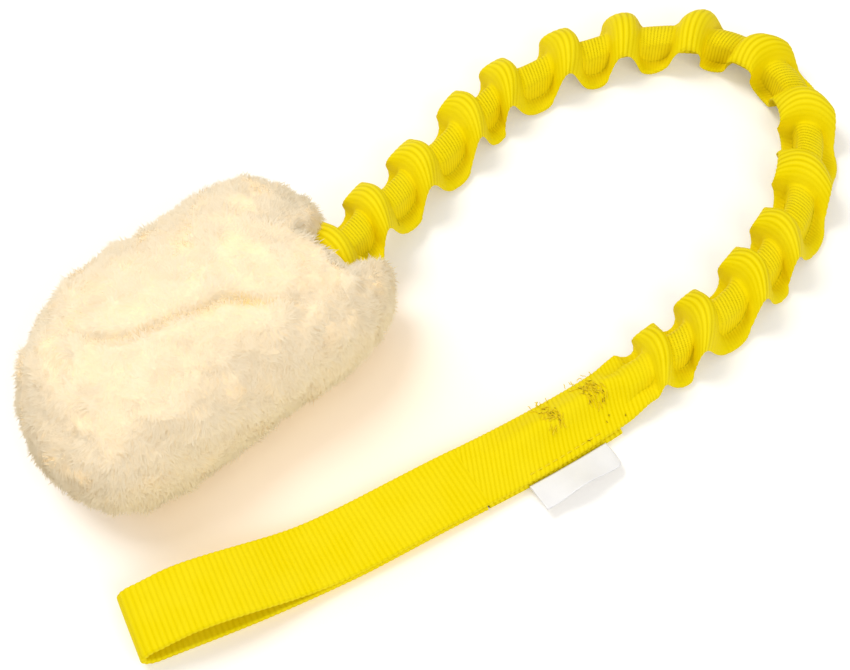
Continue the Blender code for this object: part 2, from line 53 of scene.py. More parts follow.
# Sizes and places that the solids have too
WEBBING_WIDTH = 25 * MM
WEBBING_THICKNESS = 2.1 * MM
SLEEVE_WIDTH = 22.5 * MM
CORE_DIAMETER = 7.5 * MM
CORE_CLEARANCE = 0.5 * MM
SLEEVE_WALL = 1.2 * MM
EDGE_THICKNESS = 2.2 * MM
BULGE_RADIUS = CORE_DIAMETER / 2 + CORE_CLEARANCE + SLEEVE_WALL
RUFFLE_HEIGHT = 6.8 * MM
RUFFLE_CRESTS = (
    0.0165, 0.0460, 0.0780, 0.0990, 0.1285, 0.1530, 0.1815,
    0.2085, 0.2420, 0.2735, 0.3055, 0.3260, 0.3555, 0.3750,
)
RUFFLE_FADE = 11 * MM
REST_HEIGHT = 8.6 * MM
SLEEVE_START = -5.5 * MM
MOUTH_BLEND = 27 * MM
SLEEVE_END = 388 * MM
JUNCTION_BLEND = 9 * MM
LIFT_STATION = 463.6 * MM
LOOP_TIP = 580.5 * MM
STRAP_FLOOR = 2.4 * MM
CLOSED_TOP = 3.55 * MM
LOOP_OPENING = 8.2 * MM
LOOP_OPEN_LENGTH = 71 * MM
LOOP_PEAK = 20 * MM
FOLD_DEPTH = 5.5 * MM
FOLD_SHARE = 0.6
CORE_TAIL_END = 460 * MM
CORE_TAIL_HEIGHT = 4.2 * MM
CORE_TAIL_WIDTH = 9.4 * MM
CORE_TAIL_SHIFT = -3.2 * MM
# Points of the strap's middle line: x, y and how far it is lifted off REST_HEIGHT
ROUTE = (
    (0.0507, 0.0070, 0.0118), (0.0671, 0.0184, 0.0112), (0.0856, 0.0312, 0.0055),
    (0.1047, 0.0425, 0.0014), (0.1246, 0.0532, 0.0002), (0.1436, 0.0641, 0.0),
    (0.1629, 0.0694, 0.0), (0.1828, 0.0714, 0.0), (0.2015, 0.0707, 0.0),
    (0.2197, 0.0661, 0.0), (0.2371, 0.0573, 0.0), (0.2489, 0.0440, 0.0),
    (0.2544, 0.0256, 0.0), (0.2504, 0.0038, 0.0), (0.2380, -0.0160, 0.0),
    (0.2231, -0.0329, 0.0), (0.2043, -0.0452, 0.0), (0.1858, -0.0547, 0.0),
    (0.1674, -0.0609, -0.0005), (0.1491, -0.0656, -0.0018), (0.1330, -0.0702, -0.0028),
    (0.1164, -0.0739, -0.0028), (0.0918, -0.0777, -0.0028), (0.0558, -0.0816, -0.0028),
    (0.0209, -0.0854, -0.0028), (-0.0109, -0.0869, -0.0028), (-0.0409, -0.0868, -0.0028),
    (-0.0727, -0.0865, -0.0028),
)
MOUTH_POINT = 1

PAD_LENGTH = 139 * MM
PAD_WIDTH = 89 * MM
PAD_HEIGHT = 57.2 * MM
PAD_LOWER_HEIGHT = 19.4 * MM
PAD_TURN = math.radians(21)
PLAN_ROUNDING = 2.9
SIDE_ROUNDING = 2.15
BASE_FLATNESS = 1.7
FAR_CORNER_CUT = 0.14
NEAR_CORNER_SWELL = 0.24
SIDE_DRAW = 1.8 * MM
# Swells of the pad: where, how wide and how high
PAD_SWELLS = (
    (0.020, 0.028, 0.048, 0.016, -0.0034), (0.050, 0.027, 0.042, 0.014, 0.0020),
    (0.060, 0.002, 0.040, 0.015, -0.0022), (-0.015, 0.033, 0.045, 0.017, 0.0020),
    (-0.055, -0.013, 0.042, 0.016, -0.0018), (-0.053, -0.030, 0.034, 0.014, 0.0012),
    (-0.038, -0.038, 0.030, 0.012, -0.0020), (-0.024, -0.038, 0.037, 0.014, 0.0014),
    (-0.009, -0.035, 0.042, 0.012, -0.0018), (0.020, -0.034, 0.040, 0.018, 0.0012),
    (0.062, -0.040, 0.026, 0.016, -0.0020),
)

# Camera, as the photograph was taken
CAMERA_AZIMUTH = math.radians(-24)
CAMERA_ELEVATION = math.radians(57)
CAMERA_DISTANCE = 0.65236
CAMERA_TARGET = (0.0805, -0.0188, 0)
CAMERA_HEIGHT_ANGLE = math.radians(21)
PHOTO_SHAPE = 850 / 670


def spline(points, steps):
    """Points on a smooth curve through these, with this many steps between each two."""
    ends = np.vstack([2 * points[0] - points[1], points, 2 * points[-1] - points[-2]])
    rows = []
    for a, b, c, d, count in zip(ends, ends[1:], ends[2:], ends[3:], steps):
        for t in np.arange(count) / count:
            bend = (2 * a - 5 * b + 4 * c - d) * t**2 + (3 * b - a - 3 * c + d) * t**3
            rows.append(0.5 * (2 * b + (c - a) * t + bend))
    return np.array([*rows, points[-1]])


def smooth_line(corners, step):
    """Places in plan about a step apart, on a smooth curve through these."""
    corners = np.array(corners)
    gaps = np.linalg.norm(np.diff(corners, axis=0), axis=1)
    return spline(corners, np.maximum(2, (gaps / step).astype(int)))


def distances(line):
    """The distance along a line of points up to each of them."""
    return np.concatenate([[0], np.cumsum(np.linalg.norm(np.diff(line, axis=0), axis=1))])


class Route:
    """A smooth curve through the route's points, read by the distance along it from the pad's mouth."""

    def __init__(self, steps=24):
        points = np.array([(x, y, REST_HEIGHT + lift) for x, y, lift in ROUTE])
        self.rows = spline(points, [steps] * (len(points) - 1))
        self.along = distances(self.rows)
        self.along -= self.along[MOUTH_POINT * steps]

    def place(self, s):
        s = np.asarray(s, float)
        at = np.stack([np.interp(s, self.along, self.rows[:, k]) for k in range(3)], -1)
        before = np.minimum(s - self.along[0], 0)[..., None]
        after = np.maximum(s - self.along[-1], 0)[..., None]
        start = unit(self.rows[1] - self.rows[0])
        end = unit(self.rows[-1] - self.rows[-2])
        return at + before * start + after * end

    def frames(self, s):
        """Places, and unit vectors along the route, to its left and upwards."""
        s = np.asarray(s, float)
        ahead = unit(self.place(s + 2 * MM) - self.place(s - 2 * MM))
        left = unit(np.cross((0, 0, 1), ahead))
        return self.place(s), ahead, left, np.cross(ahead, left)

    def points(self, s, aside, height, lean=None):
        """Points this far along the route and to its left, at these heights over the floor.

        They lean this far ahead, level with the floor."""
        place, ahead, left, _ = self.frames(s)
        lean = np.zeros_like(s) if lean is None else lean
        points = place + left * aside[..., None] + unit(ahead * (1, 1, 0)) * lean[..., None]
        points[..., 2] = height
        return points


def unit(vectors):
    return vectors / np.maximum(np.linalg.norm(vectors, axis=-1, keepdims=True), 1e-12)


def smooth(share):
    share = np.clip(share, 0, 1)
    return share * share * (3 - 2 * share)


def soft_max(a, b, blend):
    return 0.5 * (a + b + np.sqrt((a - b) ** 2 + blend**2))


def swell(points, size, seed, count=28):
    """Smooth lumps about this size, from -1 to 1 for the most part: waves that cross at seeded angles."""
    rng = np.random.default_rng(seed)
    total = np.zeros(points.shape[:-1])
    for _ in range(count):
        direction = unit(rng.normal(size=3))
        length = size * rng.uniform(1.5, 3.0)
        total += np.sin(points @ direction * (2 * math.pi / length) + rng.uniform(0, 2 * math.pi))
    return total / math.sqrt(count / 2) / 1.6


route = Route()


# Meshes from arrays

THREAD_SIDES = 5


def mesh_object(name, points, faces, finish, normals=None, attributes=None, corner_normals=None):
    """An object from points and a list of face index arrays, all faces in one array alike.

    Normals are given for each point, or for each corner of each face in order. An attribute has one number
    or three for each point."""
    mesh = bpy.data.meshes.new(name)
    points = np.asarray(points, np.float32).reshape(-1, 3)
    groups = [np.asarray(group, np.int32) for group in faces if len(group)]
    corners = np.concatenate([group.ravel() for group in groups])
    sizes = np.concatenate([np.full(len(group), group.shape[1], np.int32) for group in groups])
    mesh.vertices.add(len(points))
    mesh.vertices.foreach_set("co", points.ravel())
    mesh.loops.add(len(corners))
    mesh.loops.foreach_set("vertex_index", corners)
    mesh.polygons.add(len(sizes))
    starts = np.concatenate([[0], np.cumsum(sizes)[:-1]]).astype(np.int32)
    mesh.polygons.foreach_set("loop_start", starts)
    mesh.update(calc_edges=True)
    mesh.validate()
    mesh.shade_smooth()
    for label, values in (attributes or {}).items():
        values = np.asarray(values, np.float32)
        vector = values.size == points.size
        made = mesh.attributes.new(label, "FLOAT_VECTOR" if vector else "FLOAT", "POINT")
        made.data.foreach_set("vector" if vector else "value", values.ravel())
    if normals is not None:
        mesh.normals_split_custom_set_from_vertices(np.asarray(normals, np.float32).reshape(-1, 3))
    if corner_normals is not None:
        mesh.normals_split_custom_set(np.asarray(corner_normals, np.float32))
    mesh.materials.append(finish)
    made = bpy.data.objects.new(name, mesh)
    bpy.context.scene.collection.objects.link(made)
    return made


def grid_faces(rows, columns, wrap=True):
    """Quads between rows of points, each row a ring if it wraps."""
    last = columns if wrap else columns - 1
    k = np.arange(last)
    after = (k + 1) % columns
    start = (np.arange(rows - 1) * columns)[:, None]
    quads = np.stack([start + k, start + after, start + columns + after, start + columns + k], -1)
    return quads.reshape(-1, 4)


def ring_normals(rings):
    """Normals at rings of points (rows, columns, 3), pointing the way the faces of grid_faces do."""
    across = np.roll(rings, -1, 1) - np.roll(rings, 1, 1)
    return unit(np.cross(across, np.gradient(rings, axis=0)))


def tube_object(name, rings, finish, normals=None, attributes=None):
    """A closed tube through rings of points (rows, columns, 3)."""
    rows, columns = rings.shape[:2]
    first = np.arange(columns)[::-1][None]
    last = (np.arange(columns) + (rows - 1) * columns)[None]
    faces = [grid_faces(rows, columns), first, last]
    return mesh_object(name, rings, faces, finish, normals, attributes)


def thread_rings(path, radius):
    """Rings of a thread along a path of points, without twist, with a radius at each point."""
    ahead = unit(np.gradient(path, axis=0))
    side = np.zeros_like(path)
    side[0] = unit(np.cross(ahead[0], (0, 0, 1) if abs(ahead[0][2]) < 0.9 else (1, 0, 0)))
    for k in range(1, len(path)):
        side[k] = unit(side[k - 1] - ahead[k] * (side[k - 1] @ ahead[k]))
    up = np.cross(ahead, side)
    angles = (np.arange(THREAD_SIDES) * 2 * math.pi / THREAD_SIDES)[None, :, None]
    around = side[:, None] * np.cos(angles) + up[:, None] * np.sin(angles)
    return path[:, None] + around * radius[:, None, None]


def flat_section(stations, count, closer=0.0):
    """Grids of stations, of places from -1 to 1 across, and of 1 for over and -1 for under.

    Each row goes round a flat section. The places lie closer together at the edges as closer goes to 1."""
    line = np.linspace(-1, 1, count)
    line = closer * np.sin(line * math.pi / 2) + (1 - closer) * line
    across = np.concatenate([line, line[-2:0:-1]])
    sign = np.concatenate([np.ones(count), -np.ones(count - 2)])
    S, Q = np.meshgrid(stations, across, indexing="ij")
    return S, Q, np.broadcast_to(sign, S.shape)


def rounded(Q, start, least=0.0):
    """A share of thickness that falls off in a half round from start to the edge."""
    edge = np.clip((np.abs(Q) - start) / (1 - start), 0, 1)
    return np.sqrt(np.clip(1 - edge**2, least, 1))


def dress(piece, nodes, body, other=None, turn=None):
    """Hide the nodes that a piece replaces, and hang it on the body that it rides on; a piece between two
    bodies only has its placement baked in.

    The stations of turn, in millimetres, where the bend starts and ends, are looked up on the route but not
    used."""
    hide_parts(*nodes)
    if other is None:
        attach(piece, body)
    else:
        start, end = (route.place(station * MM) for station in turn)
        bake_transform(piece)


# Materials

class Nodes:
    """A short way to write a material's nodes."""

    def __init__(self, name):
        self.material = bpy.data.materials.new(name)
        self.material.use_nodes = True
        self.tree = self.material.node_tree
        self.shader = self.tree.nodes["Principled BSDF"]

    def set(self, **constants):
        for name, value in constants.items():
            self.shader.inputs[name.replace("_", " ")].default_value = value

    def wire(self, value, socket):
        if isinstance(value, bpy.types.NodeSocket):
            self.tree.links.new(value, socket)
        elif isinstance(value, (tuple, list)) and len(value) == 3 and socket.type == "RGBA":
            socket.default_value = (*value, 1)
        else:
            socket.default_value = value

    def math(self, operation, a, b=0.0):
        node = self.tree.nodes.new("ShaderNodeMath")
        node.operation = operation
        self.wire(a, node.inputs[0])
        self.wire(b, node.inputs[1])
        return node.outputs[0]

    def times(self, a, b):
        return self.math("MULTIPLY", a, b)

    def plus(self, a, b):
        return self.math("ADD", a, b)

    def flip(self, value):
        return self.math("SUBTRACT", 1.0, value)

    def ripple(self, value, kind="SINE"):
        """The sine or cosine of this many half turns, made positive."""
        return self.math("ABSOLUTE", self.math(kind, self.times(value, math.pi)))

    def mix(self, share, a, b):
        """A blend of two colours, whose sockets come after those for numbers and vectors."""
        node = self.tree.nodes.new("ShaderNodeMix")
        node.data_type = "RGBA"
        self.wire(share, node.inputs[0])
        self.wire(a, node.inputs[6])
        self.wire(b, node.inputs[7])
        return node.outputs[2]

    def ramp(self, value, low, high):
        """0 below low, 1 above high, smooth between."""
        node = self.tree.nodes.new("ShaderNodeMapRange")
        node.interpolation_type = "SMOOTHSTEP"
        self.wire(value, node.inputs["Value"])
        node.inputs["From Min"].default_value = low
        node.inputs["From Max"].default_value = high
        return node.outputs["Result"]

    def attribute(self, name):
        """The attribute's value and its x, y and z."""
        node = self.tree.nodes.new("ShaderNodeAttribute")
        node.attribute_name = name
        split = self.tree.nodes.new("ShaderNodeSeparateXYZ")
        self.tree.links.new(node.outputs["Vector"], split.inputs[0])
        return node.outputs["Fac"], split.outputs[0], split.outputs[1], split.outputs[2]

    def place(self):
        return self.tree.nodes.new("ShaderNodeTexCoord").outputs["Object"]

    def noise(self, size, detail=2.0):
        """Noise from 0 to 1 with lumps of this size in metres."""
        node = self.tree.nodes.new("ShaderNodeTexNoise")
        self.wire(self.place(), node.inputs["Vector"])
        node.inputs["Scale"].default_value = 1 / size
        node.inputs["Detail"].default_value = detail
        return node.outputs["Fac"]

    def bump(self, height, distance, strength):
        node = self.tree.nodes.new("ShaderNodeBump")
        node.inputs["Strength"].default_value = strength
        node.inputs["Distance"].default_value = distance
        self.wire(height, node.inputs["Height"])
        return node.outputs["Normal"]

    def output(self, **links):
        for name, socket in links.items():
            self.tree.links.new(socket, self.shader.inputs[name.replace("_", " ")])

    def finish(self, colour, high, distance, strength, **constants):
        """The material with this colour, a bump from this height, and plain numbers on the shader."""
        self.output(Base_Color=colour, Normal=self.bump(high, distance, strength))
        self.set(**constants)
        return self.material


# Millimetres between the warp yarns of the webbing, and between the label's warp and weft lines
WARP_PITCH = 0.62
TAPE_WARP = 0.35
TAPE_WEFT = 0.28
BRAID_STRANDS = 8.0


def webbing_material(name, base, groove_shade, light):
    """Ribbed webbing, painted with shade in the grooves, a highlight on the rib tops and shade between the
    yarns in a valley. The attribute weave holds the distance across in millimetres, the rib number, and how
    strongly shade and highlight are painted on the ribs. The attribute valley is 1 where the strap lies drawn
    together on the core."""
    n = Nodes(name)
    _, across, rib, strength = n.attribute("weave")
    valley = n.attribute("valley")[0]
    ridge = n.ripple(rib, "COSINE")
    row = n.math("FLOOR", n.plus(rib, 0.5))
    yarn = n.ripple(n.plus(n.math("DIVIDE", across, WARP_PITCH), n.times(row, 0.5)))
    fuzz = n.noise(0.6 * MM, 3.0)
    patch = n.noise(14 * MM)
    # Painted shade in the grooves between the ribs
    groove_shade_mask = n.times(n.flip(n.ramp(ridge, 0.0, 0.85)), strength)
    # Painted shade in the gaps between the warp yarns, in the grooves of a valley
    gap_shade = n.times(n.flip(n.ramp(yarn, 0.15, 0.75)), valley)
    gap_shade = n.times(gap_shade, n.flip(n.ramp(ridge, 0.35, 1.0)))
    colour = n.mix(groove_shade_mask, base, groove_shade)
    colour = n.mix(n.times(gap_shade, n.ramp(fuzz, 0.34, 0.60)), colour, YELLOW_GAP_SHADE)
    # Painted highlight on the rib tops
    top = n.times(n.ramp(ridge, 0.6, 1.0), n.times(strength, 0.5))
    colour = n.mix(top, colour, light)
    # Paler patches of random tone, in the painted highlight's colour
    colour = n.mix(n.times(n.ramp(patch, 0.35, 0.7), 0.15), colour, light)
    high = n.plus(n.times(yarn, n.plus(n.times(valley, 0.5), 0.35)), fuzz)
    n.set(Specular_Tint=(1.0, 0.86, 0.10, 1))
    return n.finish(colour, high, 0.12 * MM, 0.8, Roughness=0.6, Specular_IOR_Level=0.12)


def wool_material(name, deep, pale, painted_warmth):
    """Sheepskin pile. The attribute pile holds the height in the pile, which paints shade deeper towards the
    roots, the painted warmth of shade in the crease and of light low down, and the painted shade at the pad's
    near left end.
    """
    n = Nodes(name)
    _, height, warm_shading, shade = n.attribute("pile")
    lumps = n.noise(8 * MM, 3.0)
    tufts = n.noise(2.2 * MM, 3.0)
    fibres = n.noise(0.5 * MM, 3.0)
    # Painted shade: the pile is deeper in colour towards its roots, mixed with tufts of random tone
    colour = n.mix(n.plus(n.times(height, 0.6), n.times(tufts, 0.4)), deep, pale)
    colour = n.mix(n.times(n.ramp(lumps, 0.35, 0.7), 0.35), colour, deep)
    # Painted warmer shade in the crease and painted warmer light low down
    colour = n.mix(warm_shading, colour, painted_warmth)
    # Painted shade at the pad's near left end
    colour = n.mix(n.times(shade, 0.5), colour, WOOL_END_SHADE)
    n.set(Sheen_Weight=0.12, Sheen_Roughness=0.8, Sheen_Tint=(1.0, 0.90, 0.68, 1))
    high = n.plus(n.times(tufts, 0.7), n.times(fibres, 0.3))
    return n.finish(colour, high, 0.6 * MM, 0.25, Roughness=1.0, Specular_IOR_Level=0.0)


def thread_material(name, base, light):
    n = Nodes(name)
    fibres = n.noise(0.45 * MM)
    colour = n.mix(n.ramp(fibres, 0.35, 0.7), base, light)
    colour = n.mix(n.times(n.ramp(n.noise(3 * MM), 0.4, 0.7), 0.4), colour, base)
    return n.finish(colour, fibres, 0.15 * MM, 0.8, Roughness=0.6, Specular_IOR_Level=0.12)


def elastic_material(name, base, strand_gap_shade):
    """Braided cover of the elastic core: crossing helical strands, with painted shade in the gaps between
    them.
    """
    n = Nodes(name)
    _, turn, run, _ = n.attribute("braid")
    high = 1.0
    for side in ("ADD", "SUBTRACT"):
        strand = n.math("SINE", n.math(side, n.times(turn, BRAID_STRANDS), run))
        high = n.times(high, n.math("ABSOLUTE", strand))
    # Painted shade where the braid's relief dips between the strands
    colour = n.mix(n.ramp(high, 0.02, 0.4), strand_gap_shade, base)
    return n.finish(colour, high, 0.3 * MM, 0.8, Roughness=0.7, Specular_IOR_Level=0.3)


def tape_material(name, base, line):
    """Satin label tape: fine warp lines, painted shade in the hollows between the yarns, and a slight sheen.
    """
    n = Nodes(name)
    _, across, along, _ = n.attribute("weave")
    warp = n.ripple(n.math("DIVIDE", across, TAPE_WARP))
    weft = n.ripple(n.math("DIVIDE", along, TAPE_WEFT))
    high = n.plus(n.times(warp, 0.5), n.times(weft, 0.5))
    # Painted shade in the hollows between the warp and weft yarns
    colour = n.mix(n.times(n.ramp(high, 0.0, 0.35), 0.8), line, base)
    # Darker patches of random tone, in the same colour
    colour = n.mix(n.times(n.ramp(n.noise(5 * MM), 0.4, 0.7), 0.15), colour, line)
    n.set(Sheen_Weight=0.1)
    return n.finish(colour, high, 0.06 * MM, 0.6, Roughness=0.42, Specular_IOR_Level=0.4)


def filling_material(name, base, shadow):
    n = Nodes(name)
    lumps = n.noise(6 * MM, 4.0)
    fibres = n.noise(0.8 * MM, 3.0)
    colour = n.mix(n.ramp(lumps, 0.3, 0.7), shadow, base)
    high = n.plus(lumps, n.times(fibres, 0.3))
    return n.finish(colour, high, 2 * MM, 0.7, Roughness=0.95, Specular_IOR_Level=0.1)


YELLOW = (0.83, 0.66, 0.0008)
# Painted shade in the webbing's grooves
YELLOW_GROOVE_SHADE = (0.66, 0.50, 0.0004)
# Painted highlight on the ribs, also the colour of paler patches of random tone
YELLOW_HIGHLIGHT_AND_PALE = (0.91, 0.775, 0.024)
# Painted shade in the gaps between the webbing's yarns
YELLOW_GAP_SHADE = (0.30, 0.22, 0.004)
# The colour of the painted shade at the pad's near left end
WOOL_END_SHADE = (0.70, 0.56, 0.37)
webbing = webbing_material("yellow_webbing", YELLOW, YELLOW_GROOVE_SHADE, YELLOW_HIGHLIGHT_AND_PALE)
wool = wool_material("sheepskin_pile", (0.93, 0.79, 0.56), (0.95, 0.84, 0.66), (0.94, 0.72, 0.28))
yellow_thread = thread_material("yellow_thread", (0.84, 0.66, 0.006), (0.95, 0.80, 0.05))
pale_thread = thread_material("pale_thread", (0.78, 0.56, 0.004), (0.93, 0.76, 0.03))
# Painted shade: short darker threads among the stitches and in needle holes
shade_dot_thread = thread_material("shade_dot_thread", (0.34, 0.22, 0.004), (0.60, 0.42, 0.008))
cream_thread = thread_material("cream_thread", (0.86, 0.72, 0.42), (0.95, 0.86, 0.62))
elastic = elastic_material("elastic_cover", (0.76, 0.75, 0.71), (0.42, 0.41, 0.38))
tape = tape_material("label_tape", (0.88, 0.875, 0.88), (0.74, 0.735, 0.74))
stuffing = filling_material("loose_filling", (0.92, 0.80, 0.58), (0.80, 0.68, 0.46))


# Webbing: one surface from inside the pad to the end of the junction, cut into a piece for each joint

JUNCTION_END = 455 * MM
RIB_PITCH = 1.75 * MM
RIB_HEIGHT = 0.24 * MM
RIB_LEVEL = 0.6
RIB_SAMPLES = 7
RIB_CROWDING = 0.30
EDGE_SCALLOP = 0.22 * MM
CREST_DOME = 4.0 * MM
CREST_DROOP = 1.4 * MM
CREST_OVERHANG = 0.78
CREST_NARROWING = 0.05
TROUGH_FLARE = 0.15
TROUGH_DRAW = 0.24
FULL_BOW = 2.5
PINCHED_POWER = 2.6
BROAD_POWER = 1.6
BROAD_SHARE = 0.6
ARCH_POWER = 2.2
PINCHED_SWING = 0.85
BRIDGE = 1.6 * MM
HUG_WIDTH = 1.04 * BULGE_RADIUS
HUG_HEIGHT = 0.96 * BULGE_RADIUS
VALLEY_WIDTH = 0.9 * BULGE_RADIUS
EDGE_ROUND = 0.90
ACROSS_TOP = 45
LOWEST = 0.05 * MM
LEVEL_START = 440 * MM
LEVEL_RUN = 14 * MM
BULGE_RUN = 32 * MM
BULGE_MARGIN = 2.2 * MM
# How deep the grooves are, in relief and in painted shade and highlight: everywhere, more on a crest and in a
# valley, and where there are no ruffles
GROOVES_LEAST = 0.04
GROOVES_CREST = 0.8
GROOVES_VALLEY = 0.6
GROOVES_PLAIN = 0.42
SMOOTH_EDGE = 0.75
SMOOTH_EDGE_START = 5 * MM
SMOOTH_EDGE_RUN = 4 * MM
INNER_CREST = -10 * MM
WAVE_START = -22 * MM
CREST_SIZES = (0.8, 0.9, 1.0, 1.04, 0.92, 1.05, 0.98, 1.04, 0.95, 1.05, 0.98, 1.06, 0.98, 1.05, 0.9)
CREST_SKEWS = (0.3, 0.42, 0.28, 0.38, 0.34, 0.24, 0.20, 0.28, 0.34, 0.22, 0.30, 0.38, 0.34, 0.46, 0.40)
CREST_BOWS = (3.0, 3.2, 4.0, 4.0, 3.6, 2.6, 1.0, -1.0, -3.0, -3.4, -3.2, -3.6, -4.0, -4.0, -3.4)


def ruffle_phase(s):
    """The number of the crest here, and between two crests the share of the way to the next."""
    crests = np.array((INNER_CREST, *RUFFLE_CRESTS))
    inside = np.interp(s, crests, np.arange(len(crests)))
    before = (s - crests[0]) / (crests[1] - crests[0])
    after = len(crests) - 1 + (s - crests[-1]) / (crests[-1] - crests[-2])
    return np.where(s < crests[0], before, np.where(s > crests[-1], after, inside))


def smooth_phase(s):
    """The phase with its changes of pace eased."""
    reach = 5 * MM
    return sum(ruffle_phase(s + k * reach / 3) for k in (-3, -2, -1, 0, 1, 2, 3)) / 7


def at_phase(phase, values):
    """Values given for each crest, between the crests too."""
    return np.interp(phase, np.arange(len(values)), values)


def half_width(s):
    near_pad = smooth((s - SLEEVE_START) / MOUTH_BLEND)
    near_loop = np.clip((LIFT_STATION - s) / (LIFT_STATION - SLEEVE_END), 0, 1)
    return WEBBING_WIDTH / 2 - (WEBBING_WIDTH - SLEEVE_WIDTH) / 2 * near_pad * near_loop


def fade(s):
    """How far the ruffles have come up: 0 inside the mouth and at the junction, 1 between."""
    return smooth(np.minimum((s - WAVE_START) / RUFFLE_FADE, (SLEEVE_END - s) / RUFFLE_FADE))


def skewed(s, aside):
    """The station whose ruffle runs through this place: ruffles and ribs cross the strap at a slant."""
    return s - at_phase(smooth_phase(s), CREST_SKEWS) * aside


def wave(s, aside, lift):
    """Height of the ruffled strap's middle layer, how far it leans along the route, and 1 at a crest.

    A ruffle is pinched at the edge that its crest bows away from, and broad at the other."""
    phase = smooth_phase(skewed(s, aside))
    crest = np.cos(2 * np.pi * phase)
    bow = at_phase(phase, CREST_BOWS)
    gap = at_phase(phase - 0.5, np.diff((INNER_CREST, *RUFFLE_CRESTS)))
    side = aside / half_width(s)
    pinch = side**2 * (0.5 - 0.5 * side * np.clip(bow / FULL_BOW, -1, 1))
    raised = 0.5 + 0.5 * crest
    pinched, broad = 2 * raised**PINCHED_POWER - 1, 1 - 2 * (1 - raised) ** BROAD_POWER
    profile = crest + pinch * (pinched - crest) + BROAD_SHARE * (side**2 - pinch) * (broad - crest)
    height = (RUFFLE_HEIGHT + np.minimum(0, lift)) * at_phase(phase, CREST_SIZES)
    arch = CREST_DOME - (CREST_DOME + CREST_DROOP) * np.abs(side) ** ARCH_POWER
    swing = CREST_OVERHANG * np.sin(4 * np.pi * phase) * gap / (4 * np.pi)
    lean = swing * (1 - PINCHED_SWING * pinch) + bow * MM * raised * (0.4 - side**2)
    return (height * profile + arch * raised**1.5) * fade(s), lean * fade(s), crest * fade(s)


def spread_aside(s, aside, crest):
    """Places across the strap. At a trough one edge is spread, the one that ruffles bow away from.

    The other edge is drawn in there, and both are at a crest."""
    bow = at_phase(smooth_phase(skewed(s, aside)), CREST_BOWS)
    toward = np.clip(3 * aside / half_width(s) * np.clip(bow / FULL_BOW, -1, 1), -1, 1)
    trough = TROUGH_FLARE * np.maximum(-toward, 0) - TROUGH_DRAW * np.maximum(toward, 0)
    return aside * (1 - CREST_NARROWING * np.maximum(crest, 0) + trough * np.maximum(-crest, 0))


def core_tail(s):
    """Half width, half height, sideways shift and middle height of the elastic's flattened end."""
    share = smooth((s - SLEEVE_END) / JUNCTION_BLEND)
    taper = np.clip(0.35 + (CORE_TAIL_END - s) / (0.4 * (CORE_TAIL_END - SLEEVE_END)), 0.02, 1)
    radius = CORE_DIAMETER / 2
    half = radius + (CORE_TAIL_WIDTH / 2 - radius) * share
    height = (radius + (CORE_TAIL_HEIGHT / 2 - radius) * share) * taper
    flat_middle = STRAP_FLOOR + WEBBING_THICKNESS / 2 + CORE_CLEARANCE + height
    middle = (1 - share) * (REST_HEIGHT + ROUTE[-1][2]) + share * flat_middle
    return half, height, CORE_TAIL_SHIFT * share, middle


def strap_layers(s, aside):
    """Heights over the floor of the strap's upper and lower faces, and the lean along the route."""
    middle = route.place(s)[..., 2]
    rise, lean, _ = wave(s, aside, middle - REST_HEIGHT)
    hug = HUG_HEIGHT * np.sqrt(np.clip(1 - (aside / HUG_WIDTH) ** 2, 0, 1))
    hug = np.where(hug > 0, hug, -1)
    half = EDGE_THICKNESS / 2
    free = smooth((np.abs(aside) / half_width(s) - 0.5) / 0.3)
    upper = middle + soft_max(half + rise, hug, BRIDGE) * (1 - free) + (rise + half) * free
    lower = middle - soft_max(half - rise, hug, BRIDGE) * (1 - free) + (rise - half) * free

    core_half, core_height, shift, core_middle = core_tail(s)
    reach = core_half + CORE_CLEARANCE + BULGE_MARGIN
    bell = np.exp(-(((aside - shift) / reach) ** 2) * 1.6)
    crown = core_middle + core_height + CORE_CLEARANCE - WEBBING_THICKNESS / 2 - STRAP_FLOOR
    bulge = np.maximum(crown, 0) * bell * smooth((JUNCTION_END - s) / BULGE_RUN)
    level = (CLOSED_TOP - WEBBING_THICKNESS / 2 - STRAP_FLOOR) * smooth((s - LEVEL_START) / LEVEL_RUN)
    flat = STRAP_FLOOR + WEBBING_THICKNESS + level + bulge
    share = smooth((s - SLEEVE_END) / JUNCTION_BLEND)
    return upper * (1 - share) + flat * share, lower * (1 - share) + STRAP_FLOOR * share, lean


def count_ribs():
    """Stations and the ribs up to each, along the strap's upper middle line. They crowd in the valleys."""
    stations = np.arange(-0.06, LIFT_STATION + 0.02, 0.2 * MM)
    flat = np.zeros_like(stations)
    upper, _, lean = strap_layers(stations, flat)
    crest = wave(stations, flat, flat)[2]
    steps = np.hypot(np.diff(stations + lean), np.diff(upper)) * (1 - RIB_CROWDING * crest[1:])
    return stations, np.concatenate([[0], np.cumsum(steps)]) / RIB_PITCH


rib_stations, rib_counts = count_ribs()


def rib_relief(number, Q, start, share):
    """How far the ribs stand out of the webbing's face, and of its edges."""
    ridge = np.abs(np.cos(np.pi * number)) ** 0.9 - RIB_LEVEL
    face = RIB_HEIGHT * ridge * share * rounded(Q, start, 0.05)
    return face, EDGE_SCALLOP * ridge * smooth((np.abs(Q) - 0.9) / 0.1)


